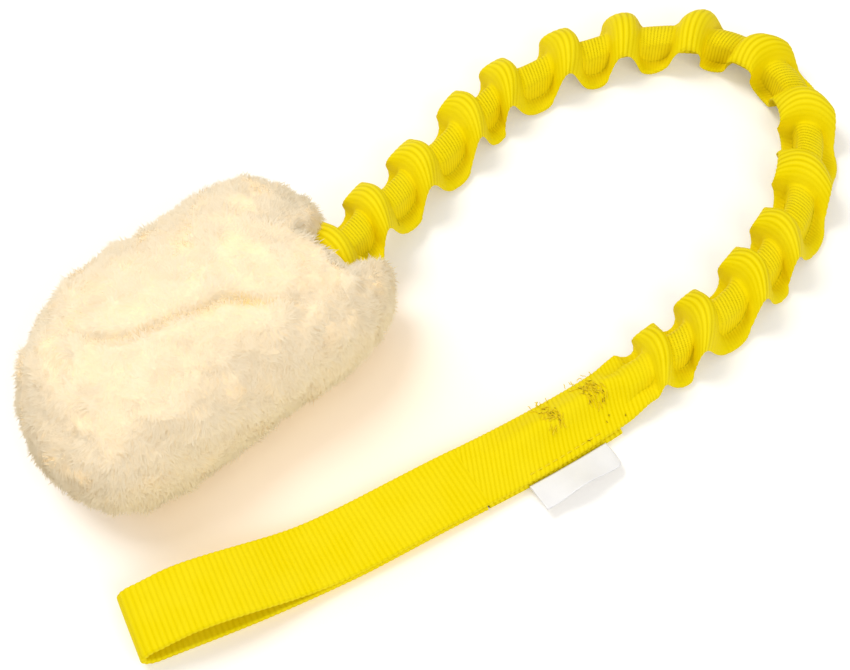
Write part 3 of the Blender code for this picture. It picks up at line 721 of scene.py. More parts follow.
def strap_sections(stations):
    """Rings of the strap's surface at these stations, and its attributes weave and valley."""
    S, Q, SIGN = flat_section(stations, ACROSS_TOP, 0.55)
    aside = -Q * half_width(S)
    upper, lower, lean = strap_layers(S, aside)
    number = np.interp(skewed(S, aside), rib_stations, rib_counts)
    crest = wave(S, aside, np.zeros_like(S))[2]
    petal = 1 - SMOOTH_EDGE * smooth((np.abs(aside) - SMOOTH_EDGE_START) / SMOOTH_EDGE_RUN)
    # How far the ribs stand out, and how strongly shade and highlight are painted on them
    in_valley = GROOVES_VALLEY * petal * np.abs(crest) ** 1.2
    grooves = GROOVES_LEAST + np.where(crest > 0, GROOVES_CREST * crest**4, in_valley)
    grooves = grooves * fade(S) + GROOVES_PLAIN * (1 - fade(S))
    valley = np.clip(-crest, 0, 1) * np.exp(-((aside / VALLEY_WIDTH) ** 4)) * (SIGN > 0)
    relief, scallop = rib_relief(number, Q, EDGE_ROUND, grooves)
    height = (upper + lower) / 2 + SIGN * ((upper - lower) / 2 * rounded(Q, EDGE_ROUND) + relief)
    aside = spread_aside(S, aside, crest) - np.sign(Q) * scallop
    points = route.points(S, aside, np.maximum(height, LOWEST), lean)
    return points, np.stack([aside / MM, number, grooves], -1), valley


# Each stretch of the bungee: the bodies at its ends, the stations in millimetres between which it bends,
# which of the nodes below it stands for, and the stations at the ends of its strap and of its core
STRETCHES = (
    ("at_pad", "pad", "bungee_1", (0, 20), slice(0, 1), (-20, 20), (-28, 20)),
    ("first_run", "bungee_1", "bungee_2", (20, 150), slice(1, 3), (20, 150), (20, 150)),
    ("bend_1", "bungee_2", "bungee_3", (150, 193), slice(2, 4), (150, 193), (147, 195)),
    ("bend_2", "bungee_3", "bungee_4", (193, 239), slice(3, 5), (193, 239), (192, 240)),
    ("bend_3", "bungee_4", "bungee_5", (239, 291), slice(4, 6), (239, 291), (239, 291)),
    ("last_run", "bungee_5", "bungee_6", (291, 373), slice(5, 7), (291, 373), (291, 373)),
    ("at_junction", "bungee_6", "grip", (373, 403), slice(6, 8), (373, 403), (373, 422)),
)
SLEEVE_NODES = [*(f"sleeve_{k}" for k in range(1, 8)), "junction_strap"]
CORE_NODES = [*(f"core_{k}" for k in range(1, 8)), "core_tail"]
# Stations closer than this count as one
STATION_GAP = 0.02 * MM
CORE_SIDES = 16
BRAID_PITCH = 1.1 * MM


def strap_stations(borders):
    """Stations for every rib, and at the borders between the pieces."""
    first, last = np.interp((borders[0], borders[-1]), rib_stations, rib_counts)
    ribs = np.arange(math.ceil(first), last, 1 / RIB_SAMPLES)
    stations = np.sort(np.concatenate([np.interp(ribs, rib_counts, rib_stations), borders]))
    keep = np.concatenate([[True], np.diff(stations) > STATION_GAP])
    for border in borders:
        keep[np.abs(stations - border) < STATION_GAP] = False
        keep[np.argmin(np.abs(stations - border))] = True
    return stations[keep]


def make_strap():
    stations = strap_stations(sorted({v * MM for row in STRETCHES for v in row[5]} | {JUNCTION_END}))
    points, weave, valley = strap_sections(stations)
    normals = ring_normals(points)

    def cut_piece(name, start, end):
        own = (stations >= start - 1e-6) & (stations <= end + 1e-6)
        attributes = {"weave": weave[own], "valley": valley[own]}
        return tube_object(name, points[own], webbing, normals[own], attributes)

    for name, body, other, turn, nodes, (start, end), _ in STRETCHES:
        piece = cut_piece(f"strap_{name}", start * MM, end * MM)
        dress(piece, SLEEVE_NODES[nodes], body, other, turn)
    piece = cut_piece("strap_over_core_end", end * MM, JUNCTION_END)
    dress(piece, ["junction_strap"], "grip")


def make_core():
    angles = np.arange(CORE_SIDES) * 2 * math.pi / CORE_SIDES
    for name, body, other, turn, nodes, _, (start, end) in STRETCHES:
        s = np.arange(start, end + 0.5) * MM
        centre, _, left, up = route.frames(s)
        half, height, shift, middle = core_tail(s)
        centre[:, 2] = np.where(s > SLEEVE_END, middle, centre[:, 2])
        centre += left * shift[:, None]
        rings = centre[:, None] + left[:, None] * (np.cos(angles) * half[:, None])[..., None]
        rings += up[:, None] * (np.sin(angles) * height[:, None])[..., None]
        run, turns = np.meshgrid(s / BRAID_PITCH, angles, indexing="ij")
        braid = np.stack([turns, run, np.zeros_like(run)], -1)
        piece = tube_object(f"elastic_{name}", rings, elastic, None, {"braid": braid})
        dress(piece, CORE_NODES[nodes], body, other, turn)


# Hand loop

LOOP_RIB_PITCH = 1.95 * MM
LOOP_STEP = 0.5 * MM
LOOP_EDGE_ROUND = 0.93
LOOP_TURN = (457, 474)
LOOP_RELIEF = 0.55
# How strongly shade and highlight are painted on the hand loop's ribs
LOOP_GROOVE_SHADING = 0.32
LOOP_LUMPS = 0.12 * MM
UNDERLAY_START = 401 * MM
UNDERLAY_LENGTH = 54 * MM
UNDERLAY_RELIEF = 0.7
# How strongly shade and highlight are painted on the underlay's ribs
UNDERLAY_GROOVE_SHADING = 0.85


def loop_height(back):
    rise = FOLD_SHARE + (1 - FOLD_SHARE) * np.sin(np.pi / 2 * back / LOOP_PEAK) ** 2
    fall = np.cos(np.pi / 2 * (back - LOOP_PEAK) / (LOOP_OPEN_LENGTH - LOOP_PEAK)) ** 2
    share = np.where(back < LOOP_PEAK, rise, np.where(back < LOOP_OPEN_LENGTH, fall, 0))
    return CLOSED_TOP + LOOP_OPENING * share


def loop_profile():
    """Middle line of the folded webbing as (distance along the route, height), closely spaced."""
    fold = LOOP_TIP - WEBBING_THICKNESS / 2
    over = np.arange(JUNCTION_END, fold - FOLD_DEPTH, LOOP_STEP)
    rise = np.where(over < fold - LOOP_OPEN_LENGTH, CLOSED_TOP, loop_height(fold - over))
    high, low = loop_height(np.array(FOLD_DEPTH)), WEBBING_THICKNESS / 2
    middle, reach = (high + low) / 2, (high - low) / 2
    angles = np.linspace(0, np.pi, 40)
    turn = np.stack([fold - FOLD_DEPTH + FOLD_DEPTH * np.sin(angles), middle + reach * np.cos(angles)], -1)
    back = np.arange(fold - FOLD_DEPTH, JUNCTION_END, -LOOP_STEP)[1:]
    lower = np.stack([back, np.full_like(back, low)], -1)
    return np.concatenate([np.stack([over, rise], -1), turn, lower])


def flat_webbing(name, points, aside, number, groove_shade):
    """A closed tube of webbing with this much painted shade in its grooves and painted highlight on its ribs.
    """
    weave = np.stack([aside / MM, number, np.full_like(number, groove_shade)], -1)
    attributes = {"weave": weave, "valley": np.zeros_like(number)}
    return tube_object(name, points, webbing, ring_normals(points), attributes)


def make_loop():
    profile = loop_profile()
    run = distances(profile)
    length = run[-1]
    samples = np.arange(0, length, LOOP_RIB_PITCH / RIB_SAMPLES)
    line = np.stack([np.interp(samples, run, profile[:, k]) for k in (0, 1)], -1)
    slope = unit(np.gradient(line, axis=0))
    T, Q, SIGN = flat_section(samples, ACROSS_TOP, 0.5)
    number = np.interp(JUNCTION_END, rib_stations, rib_counts) + T / LOOP_RIB_PITCH
    relief, scallop = rib_relief(number, Q, LOOP_EDGE_ROUND, LOOP_RELIEF)
    lumps = swell(np.stack([T, Q * WEBBING_WIDTH / 2, np.zeros_like(T)], -1), 14 * MM, 5)
    out = SIGN * (WEBBING_THICKNESS / 2 * rounded(Q, LOOP_EDGE_ROUND) + relief)
    out += LOOP_LUMPS * lumps * smooth((T - 5 * MM) / (20 * MM))
    half = np.where(T < length / 2, half_width(JUNCTION_END + T), WEBBING_WIDTH / 2)
    aside = -Q * (half + scallop)
    height = line[:, 1:] + slope[:, :1] * out
    points = route.points(line[:, :1] - slope[:, 1:] * out, aside, np.maximum(height, LOWEST))
    piece = flat_webbing("hand_loop_webbing", points, aside, number, LOOP_GROOVE_SHADING)
    dress(piece, ["handle_loop", "junction_strap"], "grip", "hand_loop", LOOP_TURN)


def make_underlay():
    """The sewn end of the hand loop, under the junction."""
    samples = np.arange(0, UNDERLAY_LENGTH, LOOP_RIB_PITCH / RIB_SAMPLES)
    T, Q, SIGN = flat_section(samples, 25)
    number = T / LOOP_RIB_PITCH
    ridge = np.abs(np.cos(np.pi * number)) ** 0.7 - RIB_LEVEL
    thick = WEBBING_THICKNESS / 2 * rounded(Q, LOOP_EDGE_ROUND)
    thick += RIB_HEIGHT * UNDERLAY_RELIEF * ridge * rounded(Q, LOOP_EDGE_ROUND, 0.05)
    aside = -Q * WEBBING_WIDTH / 2
    height = np.maximum(WEBBING_THICKNESS / 2 + SIGN * thick, LOWEST)
    points = route.points(UNDERLAY_START + T, aside, height)
    piece = flat_webbing("loop_underlay", points, aside, number, UNDERLAY_GROOVE_SHADING)
    dress(piece, ["loop_tail"], "grip")


# Label and sewing

LABEL_START = 408.5 * MM
LABEL_LENGTH = 31 * MM
LABEL_REACH = 11.4 * MM
LABEL_THICKNESS = 0.6 * MM
LABEL_RISE = 0.22
LABEL_ARCH = 2.0 * MM
LABEL_CORNER = 3.2 * MM
LABEL_CURL = 1.1 * MM
LABEL_RIPPLE = 0.25 * MM
LABEL_EDGE = 0.35 * MM
LABEL_GAP = 0.1 * MM
LABEL_LOWEST = 0.3 * MM

# The bars of stitches: the node, the station, the length in millimetres and the number of threads
BARTACKS = (("inner_bartack", 402 * MM, 8.0, 70), ("outer_bartack", 420 * MM, 5.5, 48))
# Painted shade in needle holes beside each bar: stations and distances aside, in millimetres
NEEDLE_HOLE_SHADE = {
    "inner_bartack": ((402, 6.2), (404, 7.4), (398, 9.2)),
    "outer_bartack": ((413, 10.0),),
}
SEAM_INSET = 2.2 * MM


def make_label():
    """A blank folded tape that arches up in the middle, with one corner rounded and curled down."""
    U, Q, SIGN = flat_section(np.linspace(0, LABEL_LENGTH, 63), 25)
    x, V = U / LABEL_LENGTH, (Q + 1) / 2
    from_corner = np.clip((LABEL_CORNER - U) / LABEL_CORNER, 0, 1)
    reach = LABEL_REACH * (0.96 + 0.05 * x) - LABEL_CORNER * (1 - np.sqrt(1 - from_corner**2))
    v = V * reach
    arch = LABEL_ARCH * V**1.5 * (np.sin(np.pi * x) ** 2 - 0.35 - 0.2 * np.cos(2 * np.pi * x))
    ripple = LABEL_RIPPLE * V * np.sin(2 * np.pi * (1.9 * x + 0.2))
    curl = -LABEL_CURL * from_corner**2 * V**2
    edge = np.minimum(np.minimum(V, 1 - V) * reach, np.minimum(U, LABEL_LENGTH - U) + 0.08 * MM)
    near = np.clip(1 - edge / LABEL_EDGE, 0, 1)
    thick = LABEL_THICKNESS / 2 * np.sqrt(np.clip(1 - near**2, 0.02, 1))
    middle = STRAP_FLOOR + LABEL_GAP + LABEL_RISE * v + arch + ripple + curl
    height = np.maximum(middle + SIGN * thick, LABEL_LOWEST)
    points = route.points(LABEL_START + U, WEBBING_WIDTH / 2 + LABEL_GAP + v, height)
    weave = np.stack([U / MM, v / MM, np.zeros_like(U)], -1)
    piece = tube_object("blank_label", points, tape, None, {"weave": weave})
    dress(piece, ["label"], "label_tab")


def threads_object(name, paths, radii, finish):
    """Many threads in one mesh: each a path of points with its own radius."""
    points, quads, caps, total = [], [], [], 0
    for path, radius in zip(paths, radii):
        share = np.linspace(0, 1, len(path))
        taper = np.clip(np.minimum(share, 1 - share) / 0.08, 0.45, 1)
        points.append(thread_rings(path, radius * taper).reshape(-1, 3))
        quads.append(grid_faces(len(path), THREAD_SIDES) + total)
        cap = np.arange(THREAD_SIDES) + total
        caps += [cap[::-1], cap + (len(path) - 1) * THREAD_SIDES]
        total += len(path) * THREAD_SIDES
    return mesh_object(name, np.concatenate(points), [np.concatenate(quads), np.array(caps)], finish)


def on_strap(s, aside, over):
    """Points over the strap's upper face."""
    upper, _, lean = strap_layers(s, aside)
    return route.points(s, aside, upper + over, lean)


def loose_thread(rng, s, aside, length, heading, bend, over, steps):
    """A thread that wanders over the strap from this place."""
    angle = heading + np.cumsum(rng.normal(0, bend, steps))
    along = s + np.cumsum(np.cos(angle)) * length / steps
    across = aside + np.cumsum(np.sin(angle)) * length / steps
    rise = over * (0.4 + np.abs(np.sin(np.linspace(0.2, math.pi * rng.uniform(0.9, 2.2), steps))))
    return on_strap(along, across, rise)


def bartack_threads(rng, name, station, reach, count):
    """Light threads of one bar, short darker threads as painted shade among its stitches, loose ends at the
    strap's edge and painted shade in needle holes beside it.
    """
    light, shade_dots = [], []
    for k in range(count):
        s = station + rng.uniform(-0.5, 0.5) * reach * MM
        aside = CORE_TAIL_SHIFT - 0.6 * MM + rng.uniform(-4.2, 4.2) * MM
        heading = rng.choice((-1, 1)) * rng.normal(1.15, 0.3)
        # Every fourth thread is short and darker, painted shade among the stitches
        if k % 4 == 0:
            length = rng.uniform(0.9, 1.9) * MM
            shade_dots.append(loose_thread(rng, s, aside, length, heading, 0.15, 0.3 * MM, 7))
        else:
            over = rng.uniform(0.1, 0.45) * MM
            length = rng.uniform(1.8, 3.8) * MM
            light.append(loose_thread(rng, s, aside, length, heading, 0.2, over, 9))
    for _ in range(6):
        s = station + rng.uniform(-0.8, 0.8) * reach * MM
        aside = (-10.6 + rng.uniform(-0.6, 0.8)) * MM
        length, heading = rng.uniform(1.6, 3.2) * MM, rng.uniform(-2.4, -0.7)
        light.append(loose_thread(rng, s, aside, length, heading, 0.3, 0.5 * MM, 9))
    # Darker threads as painted shade in needle holes
    for s, aside in NEEDLE_HOLE_SHADE[name]:
        shade_dots.append(loose_thread(rng, s * MM, aside * MM, 1.5 * MM, rng.uniform(0, 6), 0.8, 0.2 * MM, 7))
    return light, shade_dots


def make_stitches():
    """Two dense, untidy bars of thread across the core's end, and the label's row."""
    rng = np.random.default_rng(41)
    for name, station, reach, count in BARTACKS:
        light, shade_dots = bartack_threads(rng, name, station, reach, count)
        for kind, paths, finish in (("light", light, pale_thread), ("shade_dots", shade_dots, shade_dot_thread)):
            radii = rng.uniform(0.11, 0.17, len(paths)) * MM
            dress(threads_object(f"{name}_{kind}_threads", paths, radii, finish), [name], "grip")

    share = np.linspace(-1, 1, 9)
    sag = np.sqrt(np.clip(1 - share**2, 0, 1))
    rows = []
    for s in np.arange(LABEL_START + 1 * MM, LABEL_START + LABEL_LENGTH, 3 * MM):
        run = s + 1.1 * MM * share
        rows.append(on_strap(run, half_width(run) - SEAM_INSET, (-0.15 + 0.35 * sag) * MM))
    piece = threads_object("label_seam", rows, [0.17 * MM] * len(rows), yellow_thread)
    dress(piece, ["label_stitches"], "grip")


# Pad

CREASE_LINE = (
    (-0.0390, -0.0010), (-0.0345, -0.0050), (-0.0295, -0.0090), (-0.0215, -0.0115), (-0.0078, -0.0112),
    (0.0054, -0.0110), (0.0126, -0.0103), (0.0237, -0.0148), (0.0395, -0.0170),
)
CREASE_DEPTH = 2.6 * MM
CREASE_SPREAD = 2.3 * MM
# How far the painted warmer shade in the crease spreads
CREASE_SHADE_SPREAD = 2.0 * MM
CREASE_LOWEST = 34 * MM
# Where the painted warmer shade in the crease is strongest, beside it
CREASE_SHADE_SPOT = (0.0180, -0.0125)
CREASE_SHADE_SPOT_SPREAD = 5.5 * MM
MOUTH_DEPTH = 13 * MM
MOUTH_SLOPE = 0.7
MOUTH_REACH = 16 * MM
MOUTH_SHIFT = 4 * MM
MOUTH_EASE = 8 * MM
MOUTH_BOTTOM = -12 * MM
MOUTH_TOP = 30 * MM
HIDE_DEPTH = 1.7 * MM
HIDE_CUTS = 124
PILE_LENGTH = 4.2 * MM
PILE_PIECES = 6
PILE_PER_PIECE = 15000
PILE_SHORTEST = 1.6 * MM
PILE_LONGEST = 6 * MM
PILE_ROOT = 0.3 * MM
PILE_WIDTHS = (0.22 * MM, 0.17 * MM)
# A fibre's root, middle and tip: how high and how far aside they are, in its length
PILE_RISE = np.array([0, 0.36, 0.56])
PILE_DRIFT = np.array([0, 0.40, 0.82])
PILE_DROOP = 1.1
PILE_STRAY = 0.45
LOCK_SIZE = 6 * MM
# The pile under the pad is thinner, below this height
PILE_THIN_HEIGHT = 2.5 * MM
PILE_THIN_SHARE = 0.35
# No pile this far inside the mouth, beside the strap or over it
PILE_FREE_DEPTH = 25 * MM
PILE_FREE_MARGIN = 0.5 * MM
# The swells of the hide: size, height, seed and number of waves
HIDE_LUMPS = (
    (20 * MM, 0.5 * MM, 12, 28),
    (8 * MM, 0.55 * MM, 11, 28),
    (3.2 * MM, 0.25 * MM, 13, 60),
    (1.6 * MM, 0.12 * MM, 14, 60),
)
# The pile's painted light low down, which makes it warmer, and its painted shade at the near left end of the
# pad
LOW_WARMTH = 0.34
LOW_WARMTH_TOP = 38 * MM
END_SHADE_SHARE = 0.5
END_SHADE_TOP = 40 * MM
END_SHADE_START = 45 * MM
END_SHADE_RUN = 22 * MM
LOW_RUN = 30 * MM
CLOSING_PITCH = 3.2 * MM
CLOSING_LENGTH = 2.4 * MM
CLOSING_WIDTH = 2.6 * MM
CLOSING_RADIUS = 0.22 * MM


def pad_place(cube, shrink):
    """Points of the pad's surface, this far inside its solid, from points on a cube's surface."""
    spread = np.sin(cube * math.pi / 4) / math.sin(math.pi / 4)
    a, b, c = spread[..., 0], spread[..., 1], spread[..., 2]
    plan = (np.abs(a) ** PLAN_ROUNDING + np.abs(b) ** PLAN_ROUNDING) ** (1 / PLAN_ROUNDING)
    size = (plan**SIDE_ROUNDING + np.abs(c) ** SIDE_ROUNDING) ** (-1 / SIDE_ROUNDING)
    x, y, z = a * size, b * size, c * size
    corners = 1 - FAR_CORNER_CUT * np.maximum(-x, 0) * np.maximum(y, 0)
    corners = corners + NEAR_CORNER_SWELL * np.maximum(x, 0) * np.maximum(-y, 0)
    draw = SIDE_DRAW * (1 - z * z)
    length = PAD_LENGTH / 2 - shrink - draw * np.maximum(0, 1 - (y / 0.8) ** 2)
    width = PAD_WIDTH / 2 - shrink - draw * np.maximum(0, 1 - (x / 0.8) ** 2)
    upper = PAD_HEIGHT - PAD_LOWER_HEIGHT - shrink
    lower = PAD_LOWER_HEIGHT + 0.5 * MM - 0.4 * shrink
    sunk = (1 + np.minimum(z, 0)) ** BASE_FLATNESS - 1
    height = PAD_LOWER_HEIGHT + np.where(z > 0, z * upper, sunk * lower)
    x, y = x * corners * length, y * corners * width
    point = np.stack([x, y, height], -1)
    out = unit(point - (0, 0, PAD_LOWER_HEIGHT))
    swells = np.zeros(len(point))
    for *place, spread, rise in PAD_SWELLS:
        swells += rise * np.exp(-((point - place) ** 2).sum(1) / spread**2)
    x, y, height = (point + out * swells[:, None]).T
    cosine, sine = math.cos(PAD_TURN), math.sin(PAD_TURN)
    return np.stack([x * cosine - y * sine, x * sine + y * cosine, height], -1)


def cube_grid(cuts):
    """Points and quads of a cube's surface, welded, each side cut this many times."""
    line = np.linspace(-1, 1, cuts + 1)
    U, V = np.meshgrid(line, line, indexing="ij")
    ones = np.ones_like(U)
    sides = [(ones, U, V), (-ones, V, U), (V, ones, U), (U, -ones, V), (U, V, ones), (V, U, -ones)]
    points, quads = [], []
    for x, y, z in sides:
        quads.append(grid_faces(cuts + 1, cuts + 1, wrap=False) + sum(len(p) for p in points))
        points.append(np.stack([x, y, z], -1).reshape(-1, 3))
    points = np.concatenate(points)
    quads = np.concatenate(quads)
    _, first, back = np.unique(np.round(points, 6), axis=0, return_index=True, return_inverse=True)
    return points[first], back.reshape(-1)[quads]


def crease_distance(points):
    """Distance in plan to the closing crease, and the share of the way along it."""
    line = smooth_line(CREASE_LINE, 1 * MM)
    best = np.full(len(points), 1.0)
    share = np.zeros(len(points))
    for k, spot in enumerate(line):
        gap = np.linalg.norm(points[:, :2] - spot, axis=1)
        near = gap < best
        best[near] = gap[near]
        share[near] = k / (len(line) - 1)
    return best, share


def vertex_normals(points, quads):
    """Normals at the points, from the faces round each, the larger faces counting more."""
    a, b, c, d = (points[quads[:, k]] for k in range(4))
    face = np.cross(c - a, d - b)
    total = np.zeros_like(points)
    for k in range(4):
        np.add.at(total, quads[:, k], face)
    return unit(total)


def mouth_dent(points):
    """How far the hide gives way over the strap at the mouth, so that the strap shows from its sewn end."""
    place, ahead, left, _ = route.frames(np.zeros(1))
    along, side = unit(ahead[0] * (1, 1, 0)), unit(left[0] * (1, 1, 0))
    away = points - place[0]
    high = away[:, 2]
    over = np.maximum(away @ along + MOUTH_DEPTH + MOUTH_SLOPE * np.maximum(high, 0), 0)
    across = np.abs(away @ side + MOUTH_SHIFT)
    near = smooth((MOUTH_REACH - across) / MOUTH_EASE) * smooth((high - MOUTH_BOTTOM) / MOUTH_EASE)
    near = near * smooth((MOUTH_TOP - high) / (12 * MM))
    return along * (0.9 * over * near)[:, None]


def make_skin():
    """The hide under the pile, lumpy and creased on top: points, quads, normals and the painted warmer shade
    in the crease.
    """
    cube, quads = cube_grid(HIDE_CUTS)
    points = pad_place(cube, HIDE_DEPTH)
    normals = vertex_normals(points, quads)
    if (normals * (points - (0, 0, PAD_LOWER_HEIGHT))).sum(1).mean() < 0:
        quads = quads[:, ::-1]
        normals = -normals
    lumps = sum(height * swell(points, size, seed, waves) for size, height, seed, waves in HIDE_LUMPS)
    gap, share = crease_distance(points)
    ends = smooth(share / 0.25) * smooth((1 - share) / 0.25)
    top = smooth((points[:, 2] - CREASE_LOWEST) / (8 * MM))
    crease = CREASE_DEPTH * np.exp(-((gap / CREASE_SPREAD) ** 2)) * (0.35 + 0.65 * ends) * top
    points = points + normals * (lumps - crease)[:, None]
    points -= mouth_dent(points)
    points[:, 2] = np.maximum(points[:, 2], 0.5 * MM)
    normals = vertex_normals(points, quads)
    # Painted warmer shade in the crease, strongest at the spot beside it
    spot = np.exp(-((np.hypot(*(points[:, :2] - CREASE_SHADE_SPOT).T) / CREASE_SHADE_SPOT_SPREAD) ** 2))
    warm_shading = np.exp(-((gap / CREASE_SHADE_SPREAD) ** 2)) * (0.25 * ends + 0.95 * spot) * top
    return points, quads, normals, warm_shading


def low_warmth(points):
    """The pile looks warmer low down, where light has passed through more of it."""
    return LOW_WARMTH * smooth((LOW_WARMTH_TOP - points[:, 2]) / LOW_RUN)


def end_shade(points):
    """How far painted shade turns the pile's colour towards a tan at the pad's near left end, more low down.
    """
    local = points @ np.array([math.cos(PAD_TURN), math.sin(PAD_TURN), 0])
    low = smooth((END_SHADE_TOP - points[:, 2]) / LOW_RUN)
    return END_SHADE_SHARE * smooth((-local - END_SHADE_START) / END_SHADE_RUN) * (0.35 + 0.65 * low)


def make_pad():
    points, quads, normals, warm_shading = make_skin()
    # Painted warmer shade in the crease, and painted warmer light low down
    warm_shading = np.clip(warm_shading + low_warmth(points), 0, 1)
    # The hide is coloured like the pile low down, in its painted root shade
    pile = np.stack([np.full(len(points), 0.3), warm_shading, end_shade(points)], -1)
    hide = mesh_object("sheepskin_hide", points, [quads], wool, None, {"pile": pile})
    dress(hide, ["fleece_cover"], "pad")

    rng = np.random.default_rng(7)
    root, normal, painted_warmth = pile_roots(points, quads, (points, normals, warm_shading[:, None]), rng)
    _, ahead, left, up = route.frames(np.array([8 * MM]))
    away = root - route.place(np.zeros(1))[0]
    in_mouth = np.abs(away @ left[0]) < WEBBING_WIDTH / 2 + PILE_FREE_MARGIN
    in_mouth &= np.abs(away @ up[0]) < BULGE_RADIUS + PILE_FREE_MARGIN
    in_mouth &= away @ ahead[0] > -PILE_FREE_DEPTH
    build_pile(root, unit(normal), painted_warmth[:, 0], ~in_mouth, rng)
    make_closing(points)


def pile_roots(points, quads, values, rng):
    """These values at the roots of the pile, which are spread over the hide by its area."""
    a, b, c, d = (points[quads[:, k]] for k in range(4))
    area = np.linalg.norm(np.cross(c - a, d - b), axis=1) / 2
    low = (a + b + c + d)[:, 2] / 4 < PILE_THIN_HEIGHT
    weight = area * np.where(low, PILE_THIN_SHARE, 1.0)
    total = PILE_PIECES * PILE_PER_PIECE
    chosen = rng.choice(len(quads), total, p=weight / weight.sum())
    u, v = rng.random((2, total, 1))
    shares = [(1 - u) * (1 - v), u * (1 - v), u * v, (1 - u) * v]
    return [sum(value[quads[chosen, k]] * shares[k] for k in range(4)) for value in values]


def make_closing(skin):
    """Small stitches down in the crease, with the pile closing over them."""
    line = smooth_line(CREASE_LINE[1:-1], 0.5 * MM)
    run = distances(line)
    high = skin[skin[:, 2] > 30 * MM]
    share = np.linspace(0, 1, 9)
    paths = []
    for start in np.arange(2 * MM, run[-1] - 3 * MM, CLOSING_PITCH):
        along = start + share * CLOSING_LENGTH
        spot = np.stack([np.interp(along, run, line[:, k]) for k in (0, 1)], -1)
        slope = unit(np.gradient(spot, axis=0))
        beside = np.stack([-slope[:, 1], slope[:, 0]], -1)
        spot = spot + beside * ((share - 0.5) * CLOSING_WIDTH)[:, None]
        heights = [high[np.argmin(np.hypot(*(high[:, :2] - place).T)), 2] for place in spot]
        rise = np.mean(heights) + (0.1 + 0.45 * np.sin(np.pi * share)) * MM
        paths.append(np.concatenate([spot, rise[:, None]], 1))
    piece = threads_object("closing_thread", paths, [CLOSING_RADIUS] * len(paths), cream_thread)
    dress(piece, ["closing_stitches"], "pad")


def build_pile(root, normal, painted_warmth, keep, rng):
    """Short tapered fibres in loose locks, in pieces of equal count."""
    root, normal, painted_warmth = root[keep], normal[keep], painted_warmth[keep]
    count = len(root)
    flow = np.stack([swell(root, LOCK_SIZE, seed) for seed in (21, 22, 23)], -1)
    flow += PILE_STRAY * rng.normal(size=(count, 3))
    flow[:, 2] -= PILE_DROOP
    side = unit(flow - normal * (flow * normal).sum(1, keepdims=True))
    length = PILE_LENGTH * (0.85 + 0.25 * swell(root, 4 * MM, 31) + 0.18 * rng.normal(size=count))
    length *= 1 - 0.35 * np.clip(painted_warmth, 0, 1)
    length = np.clip(length, PILE_SHORTEST, PILE_LONGEST)[:, None]
    rise = PILE_RISE * rng.uniform(0.6, 1.25, (count, 1)) * length - PILE_ROOT
    drift = PILE_DRIFT * rng.uniform(0.7, 1.1, (count, 1)) * length
    path = root[:, None] + normal[:, None] * rise[..., None] + side[:, None] * drift[..., None]
    path[..., 2] = np.maximum(path[..., 2], 0.25 * MM)
    along = unit(np.gradient(path, axis=1))
    across = unit(np.cross(normal[:, None], along) + 1e-6)
    over = np.cross(along, across)
    rings = []
    for k, wide in enumerate(PILE_WIDTHS):
        corners = [across[:, k] * x + over[:, k] * y for x, y in ((-1, 0), (1, 0), (0, 0.3))]
        rings.append(path[:, k, None] + np.stack(corners, 1) * wide)
    verts = np.concatenate([*rings, path[:, 2:3]], axis=1)
    verts[..., 2] = np.maximum(verts[..., 2], 0.1 * MM)
    outward = unit(normal + side * 0.12)
    inward = unit(0.8 * outward - over[:, 1])
    height = np.array([0.0] * 3 + [0.6] * 3 + [1.0])
    pile = np.zeros((count, 7, 3))
    # Painted shade towards the roots, painted warmth that fades a little to the tips, and painted shade at
    # the near left end
    pile[..., 0] = height * (0.6 + 0.4 * rng.random((count, 1)))
    pile[..., 1] = painted_warmth[:, None] * (1 - 0.3 * height)
    pile[..., 2] = end_shade(root)[:, None]
    quads = np.array([(k, (k + 1) % 3, 3 + (k + 1) % 3, 3 + k) for k in range(3)])
    tips = np.array([(3 + k, 3 + (k + 1) % 3, 6) for k in range(3)] + [(2, 1, 0)])
    quad_normals = np.repeat(np.stack([inward, outward, outward], 1), 4, axis=1)
    tip_normals = np.repeat(np.stack([inward, outward, outward, inward], 1), 3, axis=1)
    borders = np.linspace(0, count, PILE_PIECES + 1).astype(int)
    for number, (start, end) in enumerate(zip(borders, borders[1:]), 1):
        size = end - start
        shift = (np.arange(size) * 7)[:, None, None]
        faces = [(quads[None] + shift).reshape(-1, 4), (tips[None] + shift).reshape(-1, 3)]
        shading = [quad_normals[start:end].reshape(-1, 3), tip_normals[start:end].reshape(-1, 3)]
        piece = mesh_object(
            f"sheepskin_pile_{number}",
            verts[start:end],
            faces,
            wool,
            attributes={"pile": pile[start:end]},
            corner_normals=np.concatenate(shading),
        )
        piece.visible_shadow = False
        dress(piece, ["fleece_cover"], "pad")


def carry_over():
    """Materials of the hidden nodes that stay as they are."""
    finishes = (("pad_filling", stuffing), ("anchor_stitches", yellow_thread), ("anchor_tail", webbing))
    for name, finish in finishes:
        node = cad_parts[name]
        node.data.materials.clear()
        node.data.materials.append(finish)


# Floor, light and camera

FLOOR_REACH = 3.0
# Painted bounce light from the pad on the floor, which makes its shadow tan: its middle, in front of the pad
# and to the right, and how far it goes
PAINTED_BOUNCE_CENTRE = (0.020, -0.040, 0)
PAINTED_BOUNCE_REACH = (45 * MM, 100 * MM)
LIGHT_TARGET = (0.08, -0.02, 0.02)
LIGHT_COLOUR = (1, 0.985, 0.955)


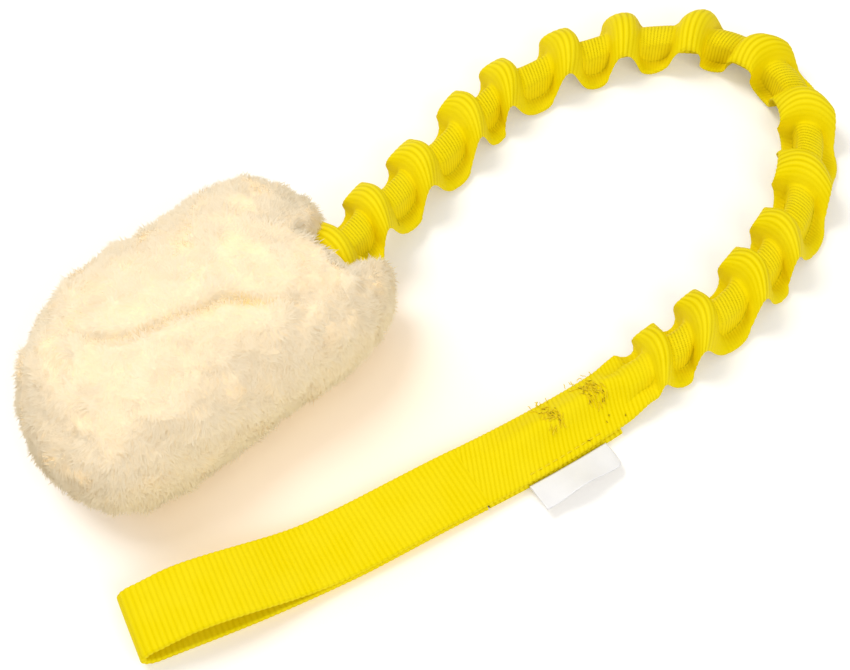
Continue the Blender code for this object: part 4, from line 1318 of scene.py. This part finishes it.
def make_floor():
    corners = np.array([(-1, -1, 0), (1, -1, 0), (1, 1, 0), (-1, 1, 0)]) * FLOOR_REACH
    n = Nodes("pale_floor")
    n.set(Base_Color=(0.87, 0.86, 0.84, 1), Roughness=0.9, Specular_IOR_Level=0.1)
    seen = n.tree.nodes.new("ShaderNodeLightPath").outputs["Is Camera Ray"]
    reach = n.tree.nodes.new("ShaderNodeVectorMath")
    reach.operation = "DISTANCE"
    reach.inputs[1].default_value = PAINTED_BOUNCE_CENTRE
    n.tree.links.new(n.place(), reach.inputs[0])
    away = n.ramp(reach.outputs["Value"], *PAINTED_BOUNCE_REACH)
    # Camera-only emission: painted bounce light near the pad, neutral further off to keep the floor white
    floor_glow_and_bounce = n.mix(away, (0.90, 0.46, 0.02), (0.66, 0.63, 0.60))
    n.output(Emission_Color=floor_glow_and_bounce, Emission_Strength=n.times(seen, 0.32))
    floor = mesh_object("floor", corners, [np.array([[0, 1, 2, 3]])], n.material)


def area_light(name, place, size, power):
    data = bpy.data.lights.new(name, "AREA")
    data.shape = "DISK"
    data.size = size
    data.energy = power
    data.color = LIGHT_COLOUR
    lamp = bpy.data.objects.new(name, data)
    lamp.location = place
    lamp.rotation_euler = (Vector(LIGHT_TARGET) - Vector(place)).to_track_quat("-Z", "Y").to_euler()
    bpy.context.scene.collection.objects.link(lamp)


def make_light():
    world = bpy.data.worlds.new("studio")
    bpy.context.scene.world = world
    world.use_nodes = True
    background = world.node_tree.nodes["Background"]
    background.inputs["Color"].default_value = (1, 0.988, 0.965, 1)
    background.inputs["Strength"].default_value = 0.60
    area_light("key", (-0.30, 0.62, 1.15), 0.70, 9.0)
    area_light("fill", (0.25, -1.25, 0.85), 1.10, 8.6)


def make_camera():
    data = bpy.data.cameras.new("camera")
    data.sensor_fit = "HORIZONTAL"
    half_height = math.tan(CAMERA_HEIGHT_ANGLE / 2)
    data.angle = 2 * math.atan(half_height * PHOTO_SHAPE)
    data.clip_start = 0.05
    data.clip_end = 20
    camera = bpy.data.objects.new("camera", data)
    a, e = CAMERA_AZIMUTH, CAMERA_ELEVATION
    back = Vector((math.sin(a) * math.cos(e), -math.cos(a) * math.cos(e), math.sin(e)))
    camera.location = Vector(CAMERA_TARGET) + back * CAMERA_DISTANCE
    camera.rotation_euler = (-back).to_track_quat("-Z", "Y").to_euler()
    bpy.context.scene.collection.objects.link(camera)
    bpy.context.scene.camera = camera


def main():
    bpy.context.scene.view_settings.view_transform = "Standard"
    make_camera()
    make_strap()
    make_core()
    make_underlay()
    make_loop()
    make_label()
    make_stitches()
    make_pad()
    carry_over()
    make_floor()
    make_light()


main()
bpy.context.view_layer.update()
